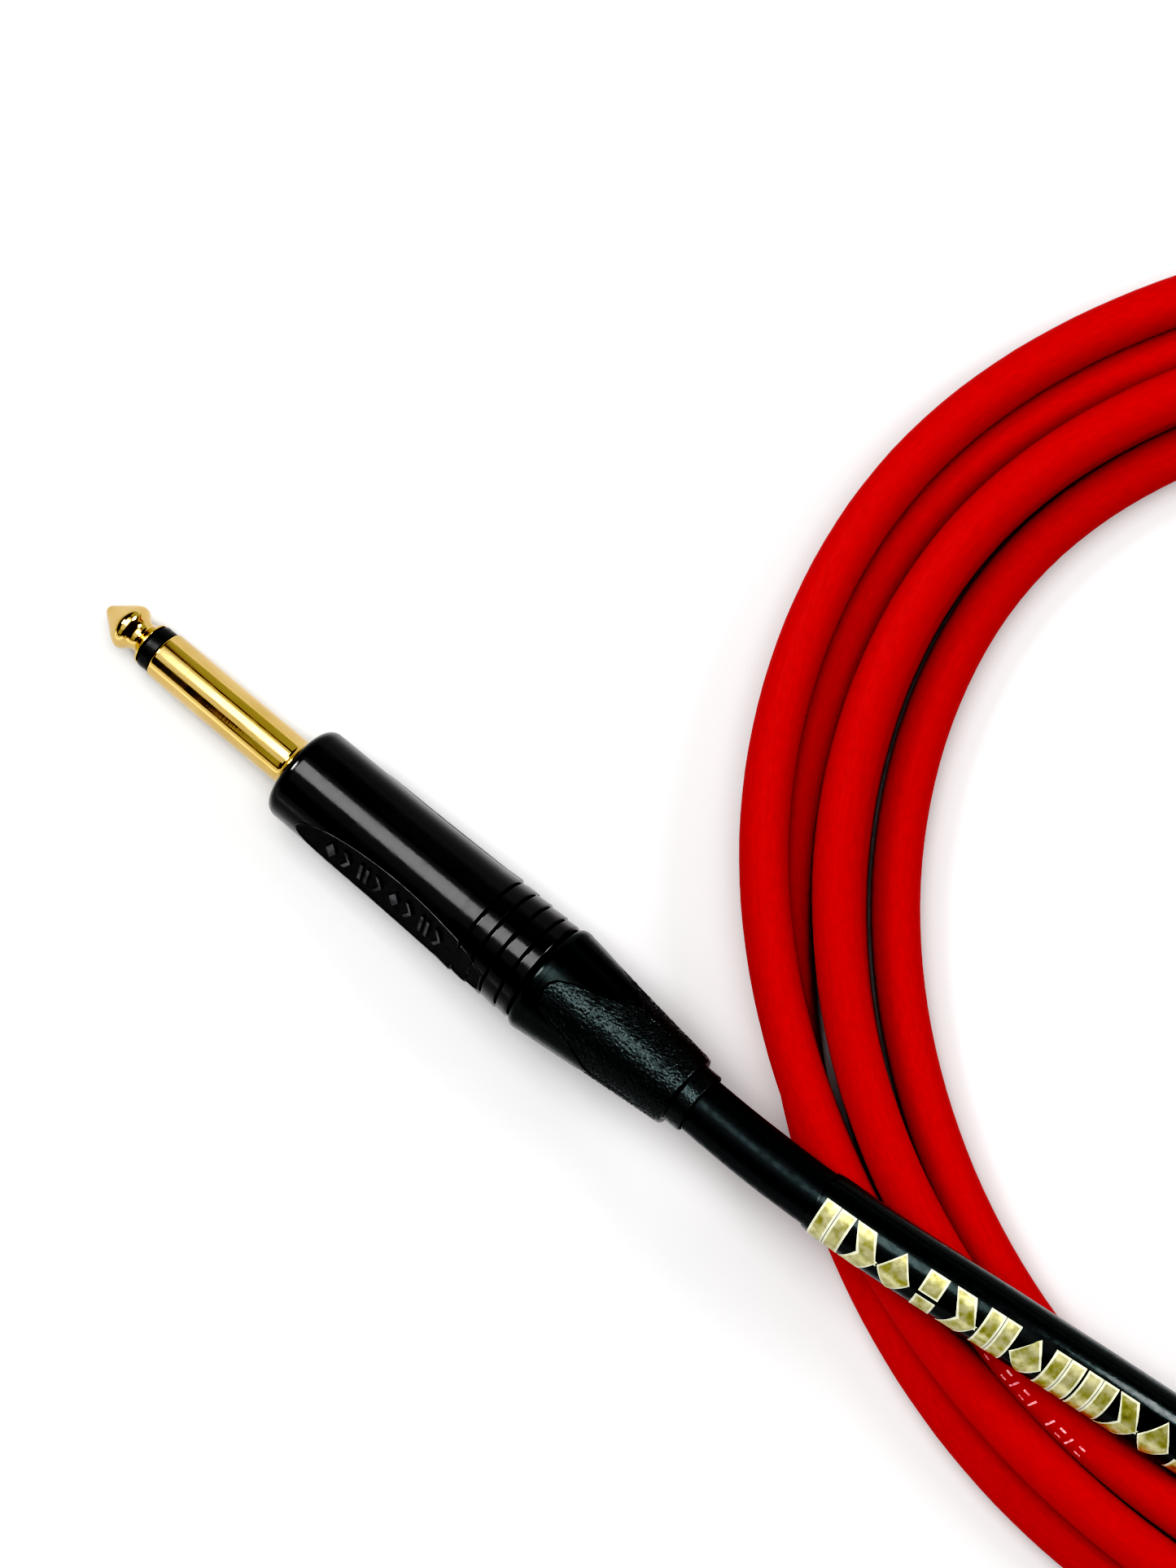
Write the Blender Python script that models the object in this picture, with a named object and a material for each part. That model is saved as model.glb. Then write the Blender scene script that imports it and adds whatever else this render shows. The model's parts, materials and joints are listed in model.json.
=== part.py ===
"""Instrument cable: two 6.35 mm phone plugs on three metres of coiled 6 mm cable.

Units are metres, +Z is up and the cable stands on z = 0.  Each plug is built along its own
+X axis: s = 0 at the shell's mouth, the tip at -s, the cable at +s.  +X of the part is the
near plug's axis, and the part's origin is under the middle of that plug.
"""

import math

import bmesh
import bpy
import numpy as np
from mathutils import Matrix, Vector

MM = 0.001

# ---- driving dimensions, in millimetres ------------------------------------------------
CABLE_R = 3.0
SHRINK_R = 3.6
FILM_R = 4.0
SLEEVE_R = 3.175            # standard 6.35 mm phone plug
TIP_S = -32.0               # apex of the tip, in front of the shell's mouth
TIP_WIDEST = (-28.3, 3.05)  # s and radius of the tip's widest ring
RING_FRONT = -24.4          # the black ring between tip and sleeve
RING_BACK = -22.75
SHELL_FRONT_R = 6.33
SHELL_END = 39.5
SHELL_END_R = 7.0
SHELL_BORE = 5.0
GRIP_GROOVES = (30.5, 32.8, 35.1, 37.5)
BOOT_FRONT = 40.4           # where the boot is widest
BOOT_MAX_R = 7.25
BOOT_END = 61.8
LIP_END = 64.0
LIP_R = 4.05
TABLE_GAP = 0.02            # the plugs lie this far above z = 0

JACKET_START = 22.0         # where the cable's jacket is stripped inside the shell
CORD_STEP = 6.0             # between the points of the cable's tubes and sleeves
SHRINK_STEPS = (6, 26)      # the heat-shrink's ends, in steps from the stripped end
FILM_STEPS = (10, 25)       # and those of the clear film over it
STRAIGHT_END = 72.0         # the cable leaves the boot in line with the plug until here

NEAR_TILT = 6.5             # degrees: the cable end is lifted by the coil that it crosses
FAR_TILT = 1.32             # degrees: the far plug lies on its shell and its boot
FAR_MOUTH = (51.5, 175.5)   # x, y of the far plug's mouth, from the near one
FAR_ROLL = 36.0



def resting_height(s, r, tilt):
    """Height of a tilted plug's mouth when its ring of radius r at s lies on the table."""
    lean = math.radians(tilt)
    return r * math.cos(lean) - s * math.sin(lean) + TABLE_GAP


NEAR_MOUTH_Z = resting_height(*TIP_WIDEST, NEAR_TILT)
FAR_MOUTH_Z = resting_height(BOOT_FRONT, BOOT_MAX_R, FAR_TILT)
# the near plug's middle, seen from above, is the part's origin
NEAR_MIDDLE = 0.5 * ((TIP_S + LIP_END) * math.cos(math.radians(NEAR_TILT))
                     + LIP_R * math.sin(math.radians(NEAR_TILT)))

# ---- the coil -----------------------------------------------------------------------------
# One turn of the coil is a soft oval about this centre.  Every 30 degrees from the bottom
# (-90 degrees) round to 240 degrees it has the innermost strand's radius, and each pass of
# the cable lies (outwards, upwards) from there: three strands side by side on the floor and
# two on top of them.
COIL_CENTRE = (121.5, 75.0)
COIL_STEP = 30
COIL_START = -90
INNER_RADIUS = (72.5, 78.5, 82.5, 83.0, 79.5, 74.0, 68.5, 65.5, 66.0, 69.8, 69.5, 69.2)
PASSES = (
    # the first pass comes in from the near plug and is met at -30 degrees
    (None, None, (-7.0, 3.3), (-6.2, 3.1), (-5.0, 3.0), (-3.0, 3.0),
     (-1.0, 3.0), (0.0, 3.0), (0.0, 3.0), (0.0, 3.0), (0.0, 3.0), (0.0, 3.0)),
    ((0.0, 3.0), (0.0, 3.0), (0.0, 3.0), (0.4, 3.0), (1.4, 3.0), (3.4, 3.0),
     (5.2, 3.0), (5.7, 3.0), (5.7, 3.0), (6.2, 3.0), (6.4, 3.0), (6.4, 3.0)),
    ((6.6, 3.0), (6.6, 3.0), (6.4, 3.0), (6.6, 3.2), (7.6, 4.0), (8.4, 6.0),
     (6.9, 8.4), (5.9, 8.6), (5.7, 8.6), (6.5, 8.6), (7.1, 8.6), (6.0, 8.4)),
    ((3.6, 8.3), (3.4, 8.2), (9.0, 8.4), (12.6, 5.2), (13.6, 3.2), (13.4, 3.0),
     (12.2, 3.0), (11.5, 3.0), (11.4, 3.0), (12.4, 3.0), (12.7, 3.0), (13.8, 3.0)),
    ((14.4, 3.0), (13.6, 3.0), (14.2, 3.0), (18.6, 3.4), (19.4, 4.0), (18.9, 5.4),
     (17.4, 6.2), (16.4, 6.8), (16.6, 6.4), (17.5, 6.6), (16.4, 7.7), (12.4, 8.4)),
    # the last half pass lies outside the others and leads to the far plug
    ((9.5, 8.4), (10.6, 8.4), (18.2, 8.2), (25.4, 4.6), (27.0, 4.25), (27.4, 4.4)),
)
COIL_FIRST = -20            # degrees along the coil where the near lead ends in it
COIL_LAST = 1797            # and where the far lead leaves it

# ---- the rest of the route, x y z from the near plug's mouth on the floor --------------------
NEAR_ROUTE = ((80.0, 0.4, 15.4), (89.0, 1.1, 16.2), (98.0, 2.1, 16.3), (107.0, 3.2, 15.6),
              (115.0, 4.1, 14.6), (123.0, 5.0, 13.3), (133.9, 6.3, 10.7), (145.2, 9.3, 7.8),
              (156.1, 14.1, 5.5), (166.0, 20.6, 4.3))
FAR_ROUTE = ((150.0, 172.0, 5.6), (136.0, 174.8, 7.2))


# ---- colours: base colour, roughness, metallic -------------------------------------------------
GOLD = ((0.83, 0.60, 0.22), 0.22, 1.0)
TINNED = ((0.72, 0.70, 0.66), 0.35, 1.0)
COPPER = ((0.72, 0.38, 0.22), 0.35, 1.0)
BLACK_SATIN = ((0.012, 0.012, 0.013), 0.38, 0.0)
BLACK_GLOSS = ((0.010, 0.012, 0.014), 0.25, 0.0)
BLACK_RUBBER = ((0.015, 0.015, 0.016), 0.75, 0.0)
BLACK_RING = ((0.01, 0.01, 0.01), 0.4, 0.0)
GREY_PLASTIC = ((0.10, 0.10, 0.11), 0.5, 0.0)
CLEAR_LINER = ((0.75, 0.77, 0.78), 0.3, 0.0)
WHITE_CORE = ((0.85, 0.84, 0.80), 0.45, 0.0)
FILM = ((0.05, 0.055, 0.05), 0.25, 0.0)
RED_JACKET = ((0.62, 0.005, 0.008), 0.42, 0.0)


# ---- small helpers -------------------------------------------------------------------------------
def clear_scene():
    for old in list(bpy.data.objects):
        bpy.data.objects.remove(old, do_unlink=True)


def material(name, look):
    colour, roughness, metallic = look
    made = bpy.data.materials.new(name)
    made.use_nodes = True
    shader = made.node_tree.nodes["Principled BSDF"]
    shader.inputs["Base Color"].default_value = (*colour, 1.0)
    shader.inputs["Roughness"].default_value = roughness
    shader.inputs["Metallic"].default_value = metallic
    return made


def add_object(name, mesh, look, parent=None):
    piece = bpy.data.objects.new(name, mesh)
    bpy.context.scene.collection.objects.link(piece)
    mesh.materials.append(material(name, look))
    mesh.shade_smooth()
    mesh.set_sharp_from_angle(angle=math.radians(35))
    piece.parent = parent
    return piece


def mesh_from_rings(name, rings, closed_round=False):
    """Skin rings of points (mm).  A ring of one point closes an end; closed_round joins
    the last ring to the first."""
    bm = bmesh.new()
    made = [[bm.verts.new(Vector(p) * MM) for p in ring] for ring in rings]
    pairs = list(zip(made, made[1:]))
    if closed_round:
        pairs.append((made[-1], made[0]))
    for one, two in pairs:
        count = max(len(one), len(two))
        for i in range(count):
            j = (i + 1) % count
            corners = [one[i % len(one)], one[j % len(one)], two[j % len(two)], two[i % len(two)]]
            bm.faces.new(list(dict.fromkeys(corners)))
    bmesh.ops.recalc_face_normals(bm, faces=bm.faces[:])
    mesh = bpy.data.meshes.new(name)
    bm.to_mesh(mesh)
    bm.free()
    return mesh


def round_ring(s, r, sides, phase=0.0):
    """Points round the plug's axis; 0 degrees is up and +90 degrees is +Y."""
    if r == 0.0:
        return [(s, 0.0, 0.0)]
    angles = [math.radians(phase) + 2 * math.pi * i / sides for i in range(sides)]
    return [(s, r * math.sin(a), r * math.cos(a)) for a in angles]


def turned(name, profile, sides, look, parent):
    """A turned piece.  The profile runs (s, r); one that starts and ends on the axis is solid,
    and any other is a closed loop round a bore."""
    rings = [round_ring(s, r, sides) for s, r in profile]
    solid = profile[0][1] == 0.0
    return add_object(name, mesh_from_rings(name, rings, closed_round=not solid), look, parent)


def lofted(name, profile_at, sides, phase, look, parent):
    """Like turned, with a profile that changes round the axis: profile_at(degrees)."""
    degrees = [phase + 360 * i / sides for i in range(sides)]
    columns = [profile_at(d) for d in degrees]
    rings = []
    for k in range(len(columns[0])):
        rings.append([(column[k][0],
                       column[k][1] * math.sin(math.radians(d)),
                       column[k][1] * math.cos(math.radians(d)))
                      for d, column in zip(degrees, columns)])
    return add_object(name, mesh_from_rings(name, rings, closed_round=True), look, parent)


def box(name, low, high, look=None, parent=None):
    bm = bmesh.new()
    bmesh.ops.create_cube(bm, size=1.0)
    size = [(h - l) * MM for l, h in zip(low, high)]
    middle = [(h + l) / 2 * MM for l, h in zip(low, high)]
    bmesh.ops.scale(bm, vec=size, verts=bm.verts)
    bmesh.ops.translate(bm, vec=middle, verts=bm.verts)
    mesh = bpy.data.meshes.new(name)
    bm.to_mesh(mesh)
    bm.free()
    if look:
        return add_object(name, mesh, look, parent)
    return helper(name, mesh, parent)


def helper(name, mesh, parent):
    """A cutter: it shapes another piece and isn't a piece itself."""
    piece = bpy.data.objects.new(name, mesh)
    bpy.context.scene.collection.objects.link(piece)
    piece.hide_render = True
    piece.display_type = "WIRE"
    piece.parent = parent
    return piece


def boolean(piece, other, operation="DIFFERENCE"):
    modifier = piece.modifiers.new(operation.lower(), "BOOLEAN")
    modifier.operation = operation
    modifier.solver = "EXACT"
    modifier.object = other


# ---- the pieces of one plug --------------------------------------------------------------------------
def tip_contact(side, parent):
    """Pointed tip with its waist, on the rod that runs back through the sleeve."""
    profile = [(TIP_S, 0.0), (TIP_S + 0.25, 0.65), (-29.3, 2.75), TIP_WIDEST, (-27.5, 2.75),
               (-26.6, 2.2), (-26.0, 2.1), (-25.5, 2.3), (RING_FRONT - 0.3, 2.85),
               (RING_FRONT - 0.3, 1.2), (13.4, 1.2), (13.4, 0.0)]
    turned("tip_contact" + side, profile, 16, GOLD, parent)


def tip_insulator(side, parent):
    """Black ring between tip and sleeve, with the tube that lines the sleeve."""
    profile = [(RING_FRONT, 1.5), (RING_FRONT, 2.95), (RING_BACK, 2.95), (RING_BACK, 2.1),
               (4.0, 2.1), (4.0, 1.5)]
    turned("tip_insulator" + side, profile, 16, BLACK_RING, parent)


def sleeve_contact(side, parent):
    """Ground sleeve, its flange in the shell's mouth and its collar inside the shell."""
    front = RING_BACK + 0.3
    profile = [(front, 2.4), (front, 3.0), (front + 0.25, SLEEVE_R), (-1.7, SLEEVE_R), (-1.0, 3.45),
               (-0.65, 4.0), (-0.5, 4.1), (8.0, 4.1), (8.0, 2.4)]
    turned("sleeve_contact" + side, profile, 20, GOLD, parent)


def rear_insulator(side, parent):
    profile = [(8.3, 1.5), (8.3, 2.7), (9.5, 2.7), (9.5, 1.5)]
    turned("rear_insulator" + side, profile, 16, GREY_PLASTIC, parent)


def tip_lug(side, parent):
    """Washer round the rod with a solder tab behind it."""
    profile = [(9.8, 1.5), (9.8, 2.7), (10.4, 2.7), (10.4, 1.5)]
    washer = turned("tip_lug" + side, profile, 12, TINNED, parent)
    tab = box("tip_tab" + side, (10.1, -1.2, 1.55), (18.0, 1.2, 2.15), None, parent)
    boolean(washer, tab, "UNION")


def ground_lug(side, parent):
    box("ground_lug" + side, (8.3, -1.7, -3.7), (21.0, 1.7, -3.1), TINNED, parent)


def contact_carrier(side, parent):
    """Plastic ring that keeps the two lugs apart, notched for each of them."""
    profile = [(10.8, 1.55), (10.8, 4.05), (13.0, 4.05), (13.0, 1.55)]
    ring = turned("contact_carrier" + side, profile, 16, GREY_PLASTIC, parent)
    boolean(ring, box("tip_notch" + side, (10.0, -1.5, 1.0), (14.0, 1.5, 2.45), None, parent))
    boolean(ring, box("ground_notch" + side, (10.0, -2.0, -5.0), (14.0, 2.0, -2.8), None, parent))


def stripped_end(side, parent):
    """Centre conductor, its insulation and the twisted shield, between the lugs and the jacket."""
    turned("core_wire" + side, [(13.8, 0.0), (13.8, 0.5), (17.2, 0.5), (17.2, 0.0)], 8, COPPER, parent)
    turned("core_insulation" + side,
           [(17.5, 0.0), (17.5, 1.1), (21.7, 1.1), (21.7, 0.0)], 10, WHITE_CORE, parent)
    pigtail = turned("shield_pigtail" + side,
                     [(14.0, 0.0), (14.0, 0.6), (21.6, 0.6), (21.6, 0.0)], 8, COPPER, parent)
    pigtail.location.z = -2.1 * MM


def insulating_liner(side, parent):
    profile = [(8.4, 4.35), (8.4, 4.7), (30.0, 4.7), (30.0, 4.35)]
    turned("insulating_liner" + side, profile, 16, CLEAR_LINER, parent)


def shell_profile():
    """Rounded mouth, slightly flared barrel, then saw-tooth grip rings and the rear bore."""
    outer = [(0.0, 4.4), (0.0, 5.15), (0.4, 5.9), (1.2, SHELL_FRONT_R), (15.0, 6.45), (28.0, 6.7)]
    for groove in GRIP_GROOVES:
        outer += [(groove - 0.15, SHELL_END_R), (groove, 6.5), (groove + 0.2, 6.68)]
    outer += [(39.0, SHELL_END_R), (SHELL_END, 6.7)]
    return outer + [(SHELL_END, SHELL_BORE), (3.0, SHELL_BORE), (3.0, 4.4)]


FACET_MIDDLE = 19.0
FACET_DEPTH = 1.0
FACET_ANGLES = (-57.0, 123.0)
FACET_CUTTER = (31.5, 20.0, 10.0)       # half axes along the plug, across it and outwards


def shell(side, parent):
    barrel = turned("shell" + side, shell_profile(), 20, BLACK_SATIN, parent)
    for number, degrees in enumerate(FACET_ANGLES):
        bm = bmesh.new()
        bmesh.ops.create_uvsphere(bm, u_segments=28, v_segments=16, radius=1.0)
        bmesh.ops.scale(bm, vec=Vector(FACET_CUTTER) * MM, verts=bm.verts)
        lift = 6.5 - FACET_DEPTH + FACET_CUTTER[2]
        bmesh.ops.translate(bm, vec=Vector((FACET_MIDDLE, 0.0, lift)) * MM, verts=bm.verts)
        turn = Matrix.Rotation(-math.radians(degrees), 3, "X")
        bmesh.ops.rotate(bm, cent=(0, 0, 0), matrix=turn, verts=bm.verts)
        mesh = bpy.data.meshes.new("facet_cutter")
        bm.to_mesh(mesh)
        bm.free()
        boolean(barrel, helper("facet_cutter_%d%s" % (number, side), mesh, parent))


def chuck(side, parent):
    """Slotted collet that grips the jacket when the boot is screwed home."""
    profile = [(24.0, 3.3), (24.0, 4.0), (31.0, 4.0), (32.5, 3.75), (37.5, 3.75), (37.5, 3.3)]
    collet = turned("chuck" + side, profile, 16, GREY_PLASTIC, parent)
    for number, degrees in enumerate((45.0, 135.0)):
        slot = box("chuck_slot_%d%s" % (number, side), (28.0, -0.35, -5.0), (39.0, 0.35, 5.0), None, parent)
        slot.rotation_euler.x = math.radians(degrees)
        boolean(collet, slot)


# The boot's hard front has three points between three round-bottomed scallops, which the
# rubber grip fills.  Each scallop runs from its middle to a point 60 degrees to each side.
SCALLOP_ANGLES = (-9.0, 111.0, -129.0)
SCALLOP_FLOOR = 41.9
SCALLOP_EDGE = ((0, 0.0), (15, 0.8), (30, 4.8), (45, 7.9), (60, 9.4))
BOOT_SEAM = 0.45
BOOT_SIDES = 24


def boot_radius(s):
    return float(np.interp(s, (BOOT_FRONT, 50.8, BOOT_END - 0.4), (BOOT_MAX_R, 6.05, 4.95)))


def scallop_s(degrees):
    """Where the hard front ends, at an angle round the boot."""
    away = min(abs((degrees - a + 180) % 360 - 180) for a in SCALLOP_ANGLES)
    angles, depths = zip(*SCALLOP_EDGE)
    return SCALLOP_FLOOR + float(np.interp(away, angles, depths))


def crown_profile(degrees):
    end = scallop_s(degrees)
    return [(33.5, 4.1), (33.5, 4.7), (39.8, 4.7), (39.8, 6.9), (BOOT_FRONT, BOOT_MAX_R),
            (end, boot_radius(end)), (end, 5.3), (41.5, 5.3), (41.5, 4.1)]


def grip_profile(degrees):
    start = scallop_s(degrees) + BOOT_SEAM
    return [(41.8, 4.0), (41.8, 5.0), (start, 5.0), (start, boot_radius(start)),
            (BOOT_END - 0.9, 5.0), (BOOT_END, 4.4), (BOOT_END, LIP_R), (LIP_END, LIP_R),
            (LIP_END, 3.72), (54.5, 3.72), (53.5, 4.0)]


def boot(side, parent):
    phase = SCALLOP_ANGLES[0]
    lofted("boot_crown" + side, crown_profile, BOOT_SIDES, phase, BLACK_GLOSS, parent)
    lofted("boot_grip" + side, grip_profile, BOOT_SIDES, phase, BLACK_RUBBER, parent)


# ---- the route -----------------------------------------------------------------------------------------
def plug_matrix(mouth, tilt, roll=0.0):
    """The plug's own frame in the part's frame, in millimetres."""
    return (Matrix.Translation(mouth) @ Matrix.Rotation(-math.radians(tilt), 4, "Y")
            @ Matrix.Rotation(math.radians(roll), 4, "X"))


def near_plug_matrix():
    return plug_matrix((-NEAR_MIDDLE, 0.0, NEAR_MOUTH_Z), NEAR_TILT)


def far_plug_matrix():
    return plug_matrix((FAR_MOUTH[0] - NEAR_MIDDLE, FAR_MOUTH[1], FAR_MOUTH_Z), FAR_TILT, FAR_ROLL)


def coil_values():
    """Every (degrees, outwards, upwards) of the coil, in order along the cable."""
    values = []
    for number, lane in enumerate(PASSES):
        for k, place in enumerate(lane):
            if place:
                values.append((COIL_START + 360 * number + COIL_STEP * k, *place))
    return np.array(values)


def coil_point(degrees, outwards, upwards):
    turn = (degrees - COIL_START) / COIL_STEP
    count = len(INNER_RADIUS)
    stops = [INNER_RADIUS[(int(math.floor(turn)) + k) % count] for k in (-1, 0, 1, 2)]
    radius = catmull_rom(*stops, turn - math.floor(turn)) + outwards
    angle = math.radians(degrees)
    return (COIL_CENTRE[0] - NEAR_MIDDLE + radius * math.cos(angle),
            COIL_CENTRE[1] + radius * math.sin(angle), upwards)


def catmull_rom(a, b, c, d, t):
    return 0.5 * (2 * b + (c - a) * t + (2 * a - 5 * b + 4 * c - d) * t ** 2
                  + (3 * b - a - 3 * c + d) * t ** 3)


def shifted(points):
    return [(x - NEAR_MIDDLE, y, z) for x, y, z in points]


def on_axis(matrix, first, last, step):
    count = int(round(abs(last - first) / step))
    return [tuple(matrix @ Vector((s, 0.0, 0.0))) for s in np.linspace(first, last, count + 1)]


def route_points():
    """The cable's own points, from inside the near plug to inside the far one."""
    near = on_axis(near_plug_matrix(), JACKET_START, STRAIGHT_END, 10.0)
    coil = [coil_point(*value) for value in coil_values()]
    far = on_axis(far_plug_matrix(), STRAIGHT_END, JACKET_START, 10.0)
    return np.array(near + shifted(NEAR_ROUTE) + coil + shifted(FAR_ROUTE) + far)


def natural_spline(points, samples=12):
    """A smooth curve through the points, with a natural cubic over their chord lengths."""
    chords = np.linalg.norm(np.diff(points, axis=0), axis=1)
    at = np.concatenate([[0.0], np.cumsum(chords)])
    count = len(points)
    system = np.eye(count)
    right = np.zeros_like(points)
    for i in range(1, count - 1):
        before, after = chords[i - 1], chords[i]
        system[i, i - 1:i + 2] = (before, 2 * (before + after), after)
        right[i] = 6 * ((points[i + 1] - points[i]) / after - (points[i] - points[i - 1]) / before)
    bend = np.linalg.solve(system, right)
    fine = []
    for i in range(count - 1):
        width = chords[i]
        for t in np.linspace(0.0, 1.0, samples, endpoint=False):
            a, b = 1 - t, t
            fine.append(a * points[i] + b * points[i + 1]
                        + width ** 2 / 6 * ((a ** 3 - a) * bend[i] + (b ** 3 - b) * bend[i + 1]))
    fine.append(points[-1])
    return np.array(fine)


class Route:
    """The cable's centreline with its length along itself, in millimetres."""

    def __init__(self):
        self.line = natural_spline(route_points())
        steps = np.linalg.norm(np.diff(self.line, axis=0), axis=1)
        self.at = np.concatenate([[0.0], np.cumsum(steps)])
        self.length = self.at[-1]

    def point(self, distance):
        return np.array([np.interp(distance, self.at, self.line[:, k]) for k in range(3)])

    def steps(self, first, last, far=False):
        """Points a step apart, counted from the stripped end in the near or the far plug."""
        places = [CORD_STEP * k for k in range(first, last + 1)]
        return [self.point(self.length - d if far else d) for d in places]

    def nearest(self, place):
        return self.at[int(np.argmin(np.linalg.norm(self.line - np.array(place), axis=1)))]


# ---- the cable's pieces -----------------------------------------------------------------------------------
def lead(name, points):
    """A stretch of cable as a round tube with closed ends."""
    curve = bpy.data.curves.new(name, "CURVE")
    curve.dimensions = "3D"
    curve.bevel_depth = CABLE_R * MM
    curve.bevel_resolution = 2
    curve.use_fill_caps = True
    spline = curve.splines.new("POLY")
    spline.points.add(len(points) - 1)
    for target, place in zip(spline.points, points):
        target.co = (*(place * MM), 1.0)
    curve.materials.append(material(name, RED_JACKET))
    piece = bpy.data.objects.new(name, curve)
    bpy.context.scene.collection.objects.link(piece)
    return piece


def sleeve_tube(name, points, inner, outer, look, sides=10):
    """A thin sleeve round the cable: its wall goes out along the outside and back inside."""
    rings = []
    for index, place in enumerate(points):
        before = points[max(index - 1, 0)]
        after = points[min(index + 1, len(points) - 1)]
        along = Vector(after - before).normalized()
        across = along.cross(Vector((0, 0, 1))).normalized()
        upward = across.cross(along)
        turns = [2 * math.pi * i / sides for i in range(sides)]
        rings.append([[Vector(place) + r * (math.cos(t) * upward + math.sin(t) * across)
                       for t in turns] for r in (outer, inner)])
    outside = [ring[0] for ring in rings]
    inside = [ring[1] for ring in reversed(rings)]
    add_object(name, mesh_from_rings(name, outside + inside, closed_round=True), look)


def sleeves(side, route, far):
    """Heat-shrink on the cable, and the clear film over its printed part."""
    sleeve_tube("heat_shrink" + side, route.steps(*SHRINK_STEPS, far), 3.22, SHRINK_R, BLACK_GLOSS)
    sleeve_tube("clear_sleeve" + side, route.steps(*FILM_STEPS, far), 3.78, FILM_R, FILM)


COIL_STATIONS = 48
COIL_DIRECTIONS = 12
LEAD_CLEARANCE = 3.5        # degrees between a lead's end and the coil's first full section


def coil():
    """One closed ring of the coil's outer shape: at each station the skin round every strand."""
    rings = []
    for station in range(COIL_STATIONS):
        degrees = COIL_START + 360 * station / COIL_STATIONS
        strands = []
        for number in range(len(PASSES)):
            here = degrees + 360 * number
            if COIL_FIRST <= here <= COIL_LAST:
                strands.append(coil_lane(here))
        ring = []
        for k in range(COIL_DIRECTIONS):
            angle = 2 * math.pi * k / COIL_DIRECTIONS
            way = np.array([math.cos(angle), math.sin(angle)])
            outermost = max(strands, key=lambda strand: float(way @ strand))
            outwards, upwards = outermost + CABLE_R * way
            ring.append(coil_point(degrees, outwards, upwards))
        rings.append(ring)
    add_object("coil", mesh_from_rings("coil", rings, closed_round=True), RED_JACKET)


def coil_lane(degrees):
    """How far outwards and upwards the cable lies at an angle along the coil."""
    values = coil_values()
    return [float(np.interp(degrees, values[:, 0], values[:, k])) for k in (1, 2)]


def cable():
    """The two leads, each on its own side of the coil, their sleeves and the coil."""
    route = Route()
    for side, degrees in (("_a", COIL_FIRST - LEAD_CLEARANCE), ("_b", COIL_LAST + LEAD_CLEARANCE)):
        far = side == "_b"
        reach = route.nearest(coil_point(degrees, *coil_lane(degrees)))
        if far:
            reach = route.length - reach
        points = route.steps(0, int(reach / CORD_STEP), far)
        points.append(route.point(route.length - reach if far else reach))
        lead("lead" + side, points)
        sleeves(side, route, far)
    coil()
    print("cable length %.1f mm" % route.length)


def plug(side, matrix):
    """Every piece of one plug, on an empty at its mouth that points along its axis."""
    axis = bpy.data.objects.new("plug" + side + "_axis", None)
    bpy.context.scene.collection.objects.link(axis)
    place = matrix.copy()
    place.translation = matrix.translation * MM
    axis.matrix_world = place
    for piece in (tip_contact, tip_insulator, sleeve_contact, rear_insulator, tip_lug, ground_lug,
                  contact_carrier, stripped_end, insulating_liner, shell, chuck, boot):
        piece(side, axis)


def main():
    clear_scene()
    plug("_a", near_plug_matrix())
    plug("_b", far_plug_matrix())
    cable()


main()
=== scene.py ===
"""Looks of the instrument cable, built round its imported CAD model.

Tables and shape functions are in millimetres, and meshes in metres (MM).  Each plug is built
along its own +X axis: s = 0 at the shell's mouth, the tip at -s and the cable at +s.  Angles
round a plug are 0 at the top and +90 towards +Y.
"""

import json
import math

import bmesh
import bpy
import numpy as np
from mathutils import Matrix, Vector, noise


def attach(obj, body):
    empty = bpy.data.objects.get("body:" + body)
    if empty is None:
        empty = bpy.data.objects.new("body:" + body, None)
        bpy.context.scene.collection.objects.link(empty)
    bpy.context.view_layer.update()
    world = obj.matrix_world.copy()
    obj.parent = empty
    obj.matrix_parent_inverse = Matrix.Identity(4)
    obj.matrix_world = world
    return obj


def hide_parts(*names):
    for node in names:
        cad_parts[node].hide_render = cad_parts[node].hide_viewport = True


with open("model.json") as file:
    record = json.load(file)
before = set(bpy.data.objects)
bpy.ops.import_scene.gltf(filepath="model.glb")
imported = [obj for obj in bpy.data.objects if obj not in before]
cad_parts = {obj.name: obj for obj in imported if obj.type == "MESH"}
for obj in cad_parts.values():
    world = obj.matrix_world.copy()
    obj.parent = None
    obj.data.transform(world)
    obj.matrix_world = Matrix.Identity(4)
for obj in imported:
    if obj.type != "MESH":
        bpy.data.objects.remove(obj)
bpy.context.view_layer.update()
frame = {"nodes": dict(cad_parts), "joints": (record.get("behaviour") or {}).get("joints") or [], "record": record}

MM = 0.001
SIDES = ("_a", "_b")
SMOOTH = 35.0               # degrees: a sharper edge stays sharp
WELD = 1e-7                 # metres between points that are one

# ---- driving dimensions, in millimetres ----
CABLE_R = 3.0
SHRINK_R = 3.6
FILM_R = 4.0
SLEEVE_R = 3.175
TIP_S = -32.0
RING_FRONT = -24.4
RING_BACK = -22.75
SHELL_END = 39.5
SHELL_BORE = 5.0
GRIP_GROOVES = (30.5, 32.8, 35.1, 37.5)
BOOT_FRONT = 40.4
BOOT_MAX_R = 7.25
BOOT_END = 61.8
LIP_END = 64.0
LIP_R = 4.05
THREAD_PITCH = 1.25

JACKET_START = 22.0
STRAIGHT_END = 72.0
SHRINK_REACH = (36.0, 156.0)    # from the stripped end, along the cable
FILM_REACH = (60.0, 150.0)

PLUG_ROLL = {"_a": 0.0, "_b": 36.0}      # degrees about its own axis


# ---- where the plugs are ----
def joint(name):
    return next(j for j in frame["joints"] if j["name"] == name)


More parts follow.
